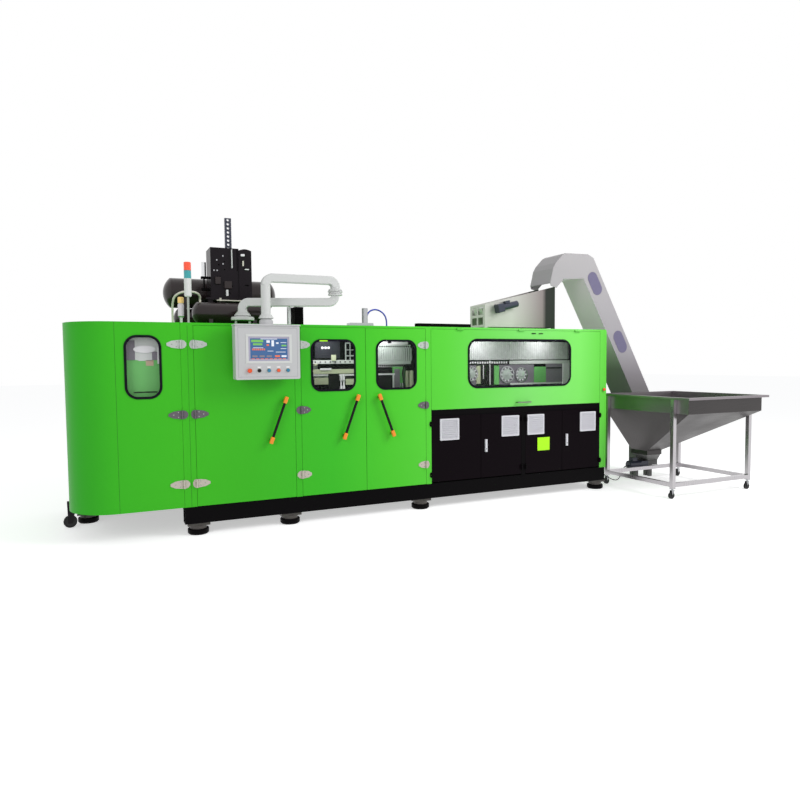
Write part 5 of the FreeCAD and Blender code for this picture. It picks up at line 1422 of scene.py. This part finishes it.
# ---- inside ----
@dataclass
class Inside:
    """What shows through the windows: moulds, rails, heat shield and oven."""

    station: Span = (400.0, 407.0)
    oven: Span = (505.0, 512.0)
    shield_x: Span = (3082, 3746)
    hole_levels: Span = (1688.0, 1914.0)
    slats_x: float = 3312.0
    slat_pitch: float = 29.0
    slat_count: int = 16
    valve_x: Span = (2848.0, 2882.0)
    valve_low: float = 1300.0
    drum_x: Span = (3708.0, 3772.0)
    drum_foot: Span = (446.0, 1162.0)
    reflector_x: Span = (4180, 6250)
    reflector_z: Span = (1748.0, 1984.0)
    fin_x: float = 4190.0
    fin_pitch: float = 31.0
    fin_count: int = 66
    discs: tuple[Point, ...] = ((4664.0, 1570.0, 96.0), (5212.0, 1552.0, 112.0), (5443.0, 1548.0, 98.0))
    lamp_bank: Area = Area(y=(500, 800), z=(1750, 1970))
    hose: tuple[Point, ...] = (
        (3694, 446, 1640), (3680, 430, 1678), (3650, 410, 1672), (3634, 400, 1620), (3632, 396, 1560),
        (3640, 394, 1500), (3656, 394, 1440), (3664, 396, 1380), (3664, 396, 1300))

    def dress(self) -> None:
        """Finishes of the inner solids."""
        for node, finish in (("clamp_frame", "black_paint"), ("front_mould", "aluminium"),
                             ("rear_mould", "aluminium"), ("stretch_carriage", "machined_steel"),
                             ("transfer_shuttle", "aluminium"), ("drive_wheel", "machined_steel"),
                             ("idler_wheel", "machined_steel"), ("preform_chain", "machined_steel"),
                             ("transfer_rail", "aluminium")):
            dress(node, finish)
        dress("oven_lamps", "aluminium", (self.lamp_bank, "stainless_upright"))

    def blow_side(self) -> None:
        """Rails, guides and valves behind door two."""
        y0, y1 = self.station
        lay_plates(FIXED_METAL, (
            ("upper_guide", "lit_grey", (y0, y1), [(2092, 3082, 1715, 1757)]),
            ("guide_carriers", "lit_cream", (y0 - 14, y0), [(2731, 2786, 1750, 1818),
                                                            (2524, 2560, 1695, 1716)]),
            ("cross_beam", "lit_cream", (y0 - 6, y1), [(2092, 3082, 1601, 1653), (2524, 2692, 1479, 1555),
                                                       (2904, 3082, 1471, 1538)]),
            ("beam_shims", "lit_white", (y0 - 12, y0 - 6), [(2594, 2729, 1641, 1665)]),
            ("lower_guide", "lit_white", (y0 - 2, y1), [(2092, 2700, 1577, 1597), (2820, 3082, 1575, 1595)]),
            ("guide_column", "black_plastic", (y0 - 8, y1), [(2692, 2823, 1300, 1600)]),
            ("side_lattice", "slat_grey", (y0, y1), [(2904, 2916, 1757, 1960), (2960, 2968, 1757, 1960),
                                                     (3010, 3022, 1757, 1960), (2904, 3022, 1948, 1960),
                                                     (2904, 3022, 1870, 1878), (2904, 3022, 1800, 1812)])))
        valves = Piece("valve_bodies")
        for x in self.valve_x:
            valves.lathe((x, y0 + 4, self.valve_low), Side.UP, [
                (0, 0), (15, 0), (15, 150), (9, 160), (9, 215), (15, 222), (15, 292), (0, 296)], 16)
        valves.done("lit_white", FIXED_METAL, smooth=True)
        for name, finish, radius, places, face, level in (
                ("guide_screws", "black_plastic", 0.008, range(2480, 3000, 60), y0 - 1, 1736.0),
                ("lit_studs", "lit_white", 0.014, (2647.0, 2685.0, 2722.0), y0 + 60, 1900.0)):
            SCREWS.make(name, [(x, face, level) for x in places], finish, FIXED_METAL, Radius=radius,
                        Height=0.004, Direction=Side.FRONT.value)
        plate = Piece("stud_plate").box((2560, 2860), (y0 + 62, y0 + 70), (1780, 1985), 2.0)
        plate.done("stud_grey", FIXED_METAL)

    def shield_side(self) -> None:
        """The slatted heat shield and what stands below it behind door three."""
        y0, y1 = self.station
        lay_plates(FIXED_METAL, (
            ("shield_rails", "slat_grey", (y0, y1), [(*self.shield_x, 1894, 1936),
                                                     (*self.shield_x, 1703, 1744)]),
            ("shield_top", "lit_white", (y0 - 4, y1), [(3338, 3708, 1939, 1973)]),
            ("shield_block", "black_plastic", (y0 - 12, y0 - 4), [(3434, 3483, 1954, 1985)]),
            ("shield_side", "lit_green", (y0, y1), [(3496, 3640, 1478, 1671)]),
            ("drive_box", "black_plastic", (y0 - 10, y1), [(3200, 3496, 1300, 1670)]),
            ("drive_box_rim", "lit_white", (y0 - 14, y0 - 10), [(3200, 3528, 1575, 1595),
                                                                (3497, 3517, 1300, 1575)]),
            ("guard_post", "shaded_grey", (y0 - 8, y1), [(3523, 3594, 1300, 1646)])))
        repeat = {"Count": self.slat_count, "Pitch": (self.slat_pitch / 1000, 0.0, 0.0)}
        SLATS.make("shield_slats", [(self.slats_x, y0 + 2, 1820.0)], "slat_grey", FIXED_METAL,
                   Size=(0.021, 0.006, 0.150), **repeat)
        DOTS.make("shield_holes", [(self.slats_x, y0 - 0.6, z) for z in self.hole_levels], "black_plastic",
                  FIXED_METAL, Radius=0.0100, **repeat)
        drums = Piece("air_drums")
        for x in self.drum_x:
            drums.lathe((x, *self.drum_foot), Side.UP, [(0, 0), (28, 0), (28, 450), (24, 462), (0, 462)], 24)
        drums.done("lit_cream", FIXED_METAL, smooth=True)
        Piece("drum_hose").tube(self.hose, 7.0).done("cable_rubber", FIXED_METAL, smooth=True)

    def oven_side(self) -> None:
        """Reflector fins, preform holders and panels behind the oven's window."""
        y0, y1 = self.oven
        low, high = self.reflector_z
        lay_plates(FIXED_METAL, [("reflector_back", "shaded_grey", (y1 + 4, y1 + 8),
                                  [(*self.reflector_x, low, high)])], 0.0)
        SLATS.make("reflector_fins", [(self.fin_x, y1 + 2, (low + high) / 2)], "reflector_grey", FIXED_METAL,
                   Count=self.fin_count, Pitch=(self.fin_pitch / 1000, 0.0, 0.0),
                   Size=(0.027, 0.004, (high - low) / 1000))
        lay_plates(FIXED_METAL, (
            ("holder_rail", "black_plastic", (y0, y1), [(4180, 5250, 1684, 1740)]),
            ("air_duct", "lit_grey", (y0, y1), [(5250, 6250, 1690, 1735), (5264, 6129, 1414, 1436)]),
            ("duct_panel", "lit_cream", (y0, y1), [(4739, 4801, 1440, 1670)]),
            ("fan_stands", "black_plastic", (y0, y1), [(4818, 4872, 1420, 1684), (4884, 4934, 1420, 1600),
                                                       (4956, 5004, 1420, 1684)]),
            ("stand_rods", "lit_white", (y0 - 4, y0), [(4838, 4850, 1500, 1680), (4938, 4952, 1420, 1740)]),
            ("green_shields", "lit_green", (y0, y1), [(5011, 5088, 1422, 1671), (5652, 5845, 1436, 1650)]),
            ("fan_plate", "shaded_grey", (y1, y1 + 4), [(4400, 4739, 1420, 1684), (5088, 5652, 1420, 1684)]),
            ("end_panel", "shaded_grey", (y0, y1), [(5845, 6127, 1436, 1690)]),
            ("end_panel_edge", "black_plastic", (y0 - 4, y0), [(5850, 6110, 1622, 1640)]),
            ("end_frame", "lit_white", (y0 - 10, y1), [(6127, 6250, 1385, 1690)])))
        SLATS.make("rail_holders", [(4200.0, y0 - 6, 1712.0)], "lit_white", FIXED_METAL, Count=28,
                   Pitch=(0.037, 0.0, 0.0), Size=(0.020, 0.012, 0.026))

    def fans(self) -> None:
        """The oven's round fan covers, their rings and studs."""
        back = self.oven[1]
        rings, covers, studs = Piece("fan_rings"), Piece("fan_covers"), []
        for x, z, radius in self.discs:
            rings.ring((x, back, z), Side.FRONT, (radius * 0.86, radius), (0.1, 14.0), 40)
            covers.lathe((x, back, z), Side.FRONT, [(0, 0.2), (radius * 0.7, 0.2), (radius * 0.62, 8),
                                                    (radius * 0.3, 10), (radius * 0.22, 16), (0, 16)], 32)
            studs += [(x + 0.76 * radius * math.cos(a), back - 3, z + 0.76 * radius * math.sin(a))
                      for a in (2 * math.pi * k / 10 for k in range(10))]
        rings.done("machined_steel", FIXED_METAL, smooth=True)
        covers.done("slat_grey", FIXED_METAL, smooth=True)
        SCREWS.make("fan_studs", studs, "lit_white", FIXED_METAL, Radius=0.011, Height=0.005,
                    Direction=Side.FRONT.value)

    def build(self) -> None:
        """Dresses the inside and builds what shows through the windows."""
        self.dress()
        self.blow_side()
        self.shield_side()
        self.oven_side()
        self.fans()


# ---- feeder ----
class Stiffness(Enum):
    """How stiff a cord is."""

    MEDIUM = "medium"
    STIFF = "stiff"


@dataclass(frozen=True)
class Cord:
    """A cable or hose on one smooth curve, in place of the frame's solid of the same name."""

    name: str
    finish: str
    slot: str
    stiffness: Stiffness
    radius: float
    points: tuple[Point, ...]

    def build(self) -> None:
        data = bpy.data.curves.new(self.name + "_line", "CURVE")
        data.dimensions = "3D"
        spline = data.splines.new("NURBS")
        spline.points.add(len(self.points) - 1)
        route = MACHINE.all(self.points)
        for target, place in zip(spline.points, route):
            target.co = (*place, 1.0)
        spline.order_u = 3
        spline.use_endpoint_u = True
        spline.resolution_u = 8
        data.bevel_depth = self.radius / 1000
        data.bevel_resolution = 3
        data.use_fill_caps = True
        data.materials.append(FINISHES.get(self.finish))
        made = add_object(self.name + "_line", data)
        settle(made, Mount("machine", self.slot), self.name)


CABLE = Cord("motor_cable", "cable_rubber", "cable_rubber", Stiffness.MEDIUM, 6.0, (
    (7178, 352, 200), (7142, 352, 200), (7096, 341, 182), (7050, 318, 150), (7000, 288, 112), (6948, 252, 84),
    (6892, 214, 70), (6834, 176, 64), (6776, 142, 66), (6718, 118, 76), (6660, 106, 94), (6602, 100, 122),
    (6548, 100, 152), (6510, 101, 174), (6484, 101, 182), (6462, 101, 182)))
HOSE = Cord("blue_hose", "blue_hose", "hose_rubber", Stiffness.STIFF, 9.0, (
    (3140, 310, 2179), (3140, 310, 2215), (3142, 310, 2262), (3160, 310, 2304), (3200, 310, 2333),
    (3252, 310, 2342), (3302, 310, 2330), (3346, 309, 2302), (3376, 308, 2262), (3388, 307, 2216),
    (3390, 306, 2170), (3390, 306, 2134)))


@dataclass
class Feeder:
    """Unscrambler trough, elevator, hopper, their motors and the motor's cable."""

    ovals: tuple[Span, ...] = ((6615.0, 2798.0), (7085.0, 1992.0))
    oval_half: Span = (84.0, 166.0)
    lean: float = 0.5676
    elevator_front: float = 420.0
    # the elevator's left-facing faces, which take its painted light
    elevator_side: Area = Area(x=(6060, 9000), z=(560, 2900), toward=(4000.0, 640.0, 1000.0))
    trough_front: Area = Area(y=(0, 449.0))
    caster_forks: Area = Area(z=(85, 135))
    # the hopper's front band and funnel, which take the dark painted reflection
    hopper_front: Area = Area(y=(-1140, -1060), z=(1060, 1240))
    funnel: Area = Area(z=(395, 1060))

    def dress(self) -> None:
        """Finishes of the feeder's solids."""
        dress("unscrambler_trough", "trough_sheet", (self.trough_front, "stainless_sheet"))
        dress("front_roller", "machined_steel")
        dress("rear_roller", "machined_steel")
        dress("elevator_casing", "elevator_sheet", (self.elevator_side, "elevator_side"))
        dress("hopper_bin", "hopper_lit_steel", (self.funnel, "hopper_shaded_steel"), (self.hopper_front, "hopper_shaded_steel"))
        dress("hopper_frame", "stainless_upright")
        dress("hopper_casters", "wheel_rubber", (self.caster_forks, "machined_steel"))
        dress("feeder_motors", "motor_paint")

    def windows(self) -> None:
        """The two oval windows of the elevator, with their rims."""
        half, tall = self.oval_half
        # the panes are opaque and carry the painted shade of the casing's inside
        for name, finish, edge, depth in (("elevator_window_rims", "shaded_grey", half + 5.0, 1.5),
                                          ("elevator_windows", "elevator_glass", half, 3.0)):
            panes = Piece(name)
            for x, z in self.ovals:
                start = len(panes.mesh.verts)
                panes.lathe((0, 0, 0), Side.FRONT, [(0, -0.5), (edge, -0.5), (edge, depth - 0.5),
                                                    (edge - 0.5, depth), (0, depth)], 36)
                for vert in list(panes.mesh.verts)[start:]:
                    vert.co.z += math.copysign(tall - half, vert.co.z) if abs(vert.co.z) > 0.01 else 0.0
                panes.placed((x, self.elevator_front, z), -math.atan(self.lean), start=start)
            panes.done(finish, Mount("machine", "stainless"))

    def relief(self) -> None:
        """The tapered strain relief where the cable leaves the motor."""
        profile = [(0, -4), (13, -4), (13, 4), (11, 8), (8, 40), (6.4, 46), (0, 46)]
        sleeve = Piece("cable_strain_relief").lathe(CABLE.points[0], Side.LEFT, profile, 20)
        sleeve.done("cable_rubber", Mount("machine", "cable_rubber"), smooth=True)

    def build(self) -> None:
        """Builds and dresses the feeder and the two cords."""
        self.dress()
        self.windows()
        self.relief()
        CABLE.build()
        HOSE.build()


# ---- studio ----
@dataclass(frozen=True)
class Lamp:
    """A soft square lamp that mirrors don't show."""

    name: str
    place: Point
    aim: Point
    size: float
    power: float

    def build(self) -> None:
        """Hangs the lamp and points it."""
        data = bpy.data.lights.new(self.name, "AREA")
        data.size = self.size
        data.energy = self.power
        lamp = add_object(self.name, data)
        spot, target = MACHINE.at(*self.place), MACHINE.at(*self.aim)
        lamp.location = spot
        lamp.visible_glossy = False
        lamp.rotation_euler = (target - spot).to_track_quat("-Z", "Y").to_euler()


@dataclass
class Studio:
    """Floor, light and the camera at the photograph's angle."""

    eye: Point = (336.0, -6674.0, 1718.0)
    angles: Point = (24.75, 3.29, -0.52)
    lens: float = 29.03
    world_light: float = 0.52
    floor_reach: float = 60.0
    floor_glow: float = 0.50
    lamps: tuple[Lamp, ...] = (
        Lamp("key_light", (8600, -4600, 5600), (4900, 0, 1300), 4.0, 360.0),
        Lamp("fill_light", (-5200, -6400, 4600), (600, 0, 1200), 5.0, 210.0),
        Lamp("station_light", (2640, 250, 2040), (2660, 420, 1600), 0.2, 2.28),
        Lamp("shield_light", (3330, 250, 2040), (3400, 420, 1600), 0.2, 1.56),
        Lamp("oven_light", (4700, 280, 2040), (4900, 520, 1560), 0.2, 1.44),
        Lamp("oven_end_light", (5700, 280, 2040), (5700, 520, 1560), 0.2, 1.44))

    def camera(self) -> None:
        """Sets the camera by its eye, and its yaw, pitch and roll in degrees."""
        data = bpy.data.cameras.new("camera")
        data.lens = self.lens
        data.sensor_width = 36.0
        data.sensor_fit = "HORIZONTAL"
        data.clip_end = 200.0
        yaw, pitch, roll = (math.radians(v) for v in self.angles)
        ahead = Vector((math.sin(yaw) * math.cos(pitch), math.cos(yaw) * math.cos(pitch), -math.sin(pitch)))
        level = Vector((math.cos(yaw), -math.sin(yaw), 0.0))
        upright = level.cross(ahead)
        right = level * math.cos(roll) + upright * math.sin(roll)
        above = upright * math.cos(roll) - level * math.sin(roll)
        camera = add_object("camera", data)
        turn = Matrix((right, above, -ahead)).transposed()
        camera.matrix_world = Matrix.Translation(MACHINE.at(*self.eye)) @ turn.to_4x4()
        bpy.context.scene.camera = camera

    def floor(self) -> None:
        """A pale floor that shows white and keeps the machine's shadow."""
        reach = self.floor_reach
        data = bpy.data.meshes.new("floor")
        data.from_pydata([(-reach, -reach, 0), (reach, -reach, 0), (reach, reach, 0), (-reach, reach, 0)], [],
                         [(0, 1, 2, 3)])
        shade = Shade("pale_floor")
        path = shade.add("ShaderNodeLightPath").outputs
        unseen, seen, mirrored = (shade.add("ShaderNodeEmission", {"Strength": strength}).outputs[0]
                                  for strength in (0.0, self.floor_glow, 1.0))
        glow = shade.choose(path["Is Camera Ray"], unseen, seen)
        total = shade.add("ShaderNodeAddShader", {0: shade.shader.outputs[0], 1: glow}).outputs[0]
        surface = shade.choose(path["Is Glossy Ray"], total, mirrored)
        shade.fill(shade.tree.nodes["Material Output"], {"Surface": surface})
        data.materials.append(shade.finish({"Base Color": (0.92, 0.92, 0.92, 1), "Roughness": 0.9,
                                            "Specular IOR Level": 0.0}))
        add_object("floor", data)

    def surround(self) -> None:
        """A white surround, dimmer where it only lights the machine."""
        world = bpy.data.worlds.new("surround")
        bpy.context.scene.world = world
        world.use_nodes = True
        graph = Graph(world.node_tree)
        dim = graph.tree.nodes["Background"]
        graph.fill(dim, {"Color": (0.98, 0.99, 1.0, 1), "Strength": self.world_light})
        white = graph.add("ShaderNodeBackground", {"Color": (1, 1, 1, 1), "Strength": 1.0})
        path = graph.add("ShaderNodeLightPath").outputs
        shown = path["Is Camera Ray"]
        for label in ("Is Glossy Ray", "Is Transmission Ray"):
            shown = graph.maths("MAXIMUM", shown, path[label])
        surface = graph.choose(shown, dim.outputs[0], white.outputs[0])
        graph.fill(graph.tree.nodes["World Output"], {"Surface": surface})

    def build(self) -> None:
        """Sets floor, light, camera and the plain view transform."""
        self.floor()
        self.surround()
        for lamp in self.lamps:
            lamp.build()
        self.camera()
        bpy.context.scene.view_settings.view_transform = "Standard"


def build_doors() -> None:
    """Builds the end cover, the three machine doors and the oven's front."""
    mark = Piece("window_mark").box((2466.0, 2556.0), (-7.4, -6.1), (1956.0, 1970.0), 0.4)
    mark.done("yellow_plate", Mount("door_2", "green_paint"))
    EndCover(Hinges("left_cover", 1043.0, -1, 130.0)).build()
    Door(Hinges("door_1", 1165.0, 1, 130.0), 2083.0, 172.0, windowed=False).build()
    Door(Hinges("door_2", 2255.0, 1, 102.0), 2891.0, 172.0).build()
    Door(Hinges("door_3", 3745.0, -1, 102.0), 3140.0, -172.0).build()
    OvenFront().build()


def main() -> None:
    """Builds the machine's looks in order, then the studio."""
    Cabinet().build()
    build_doors()
    OperatorPanel().build()
    RoofGear().build()
    Inside().build()
    Feeder().build()
    Studio().build()


if __name__ == "__main__":
    main()
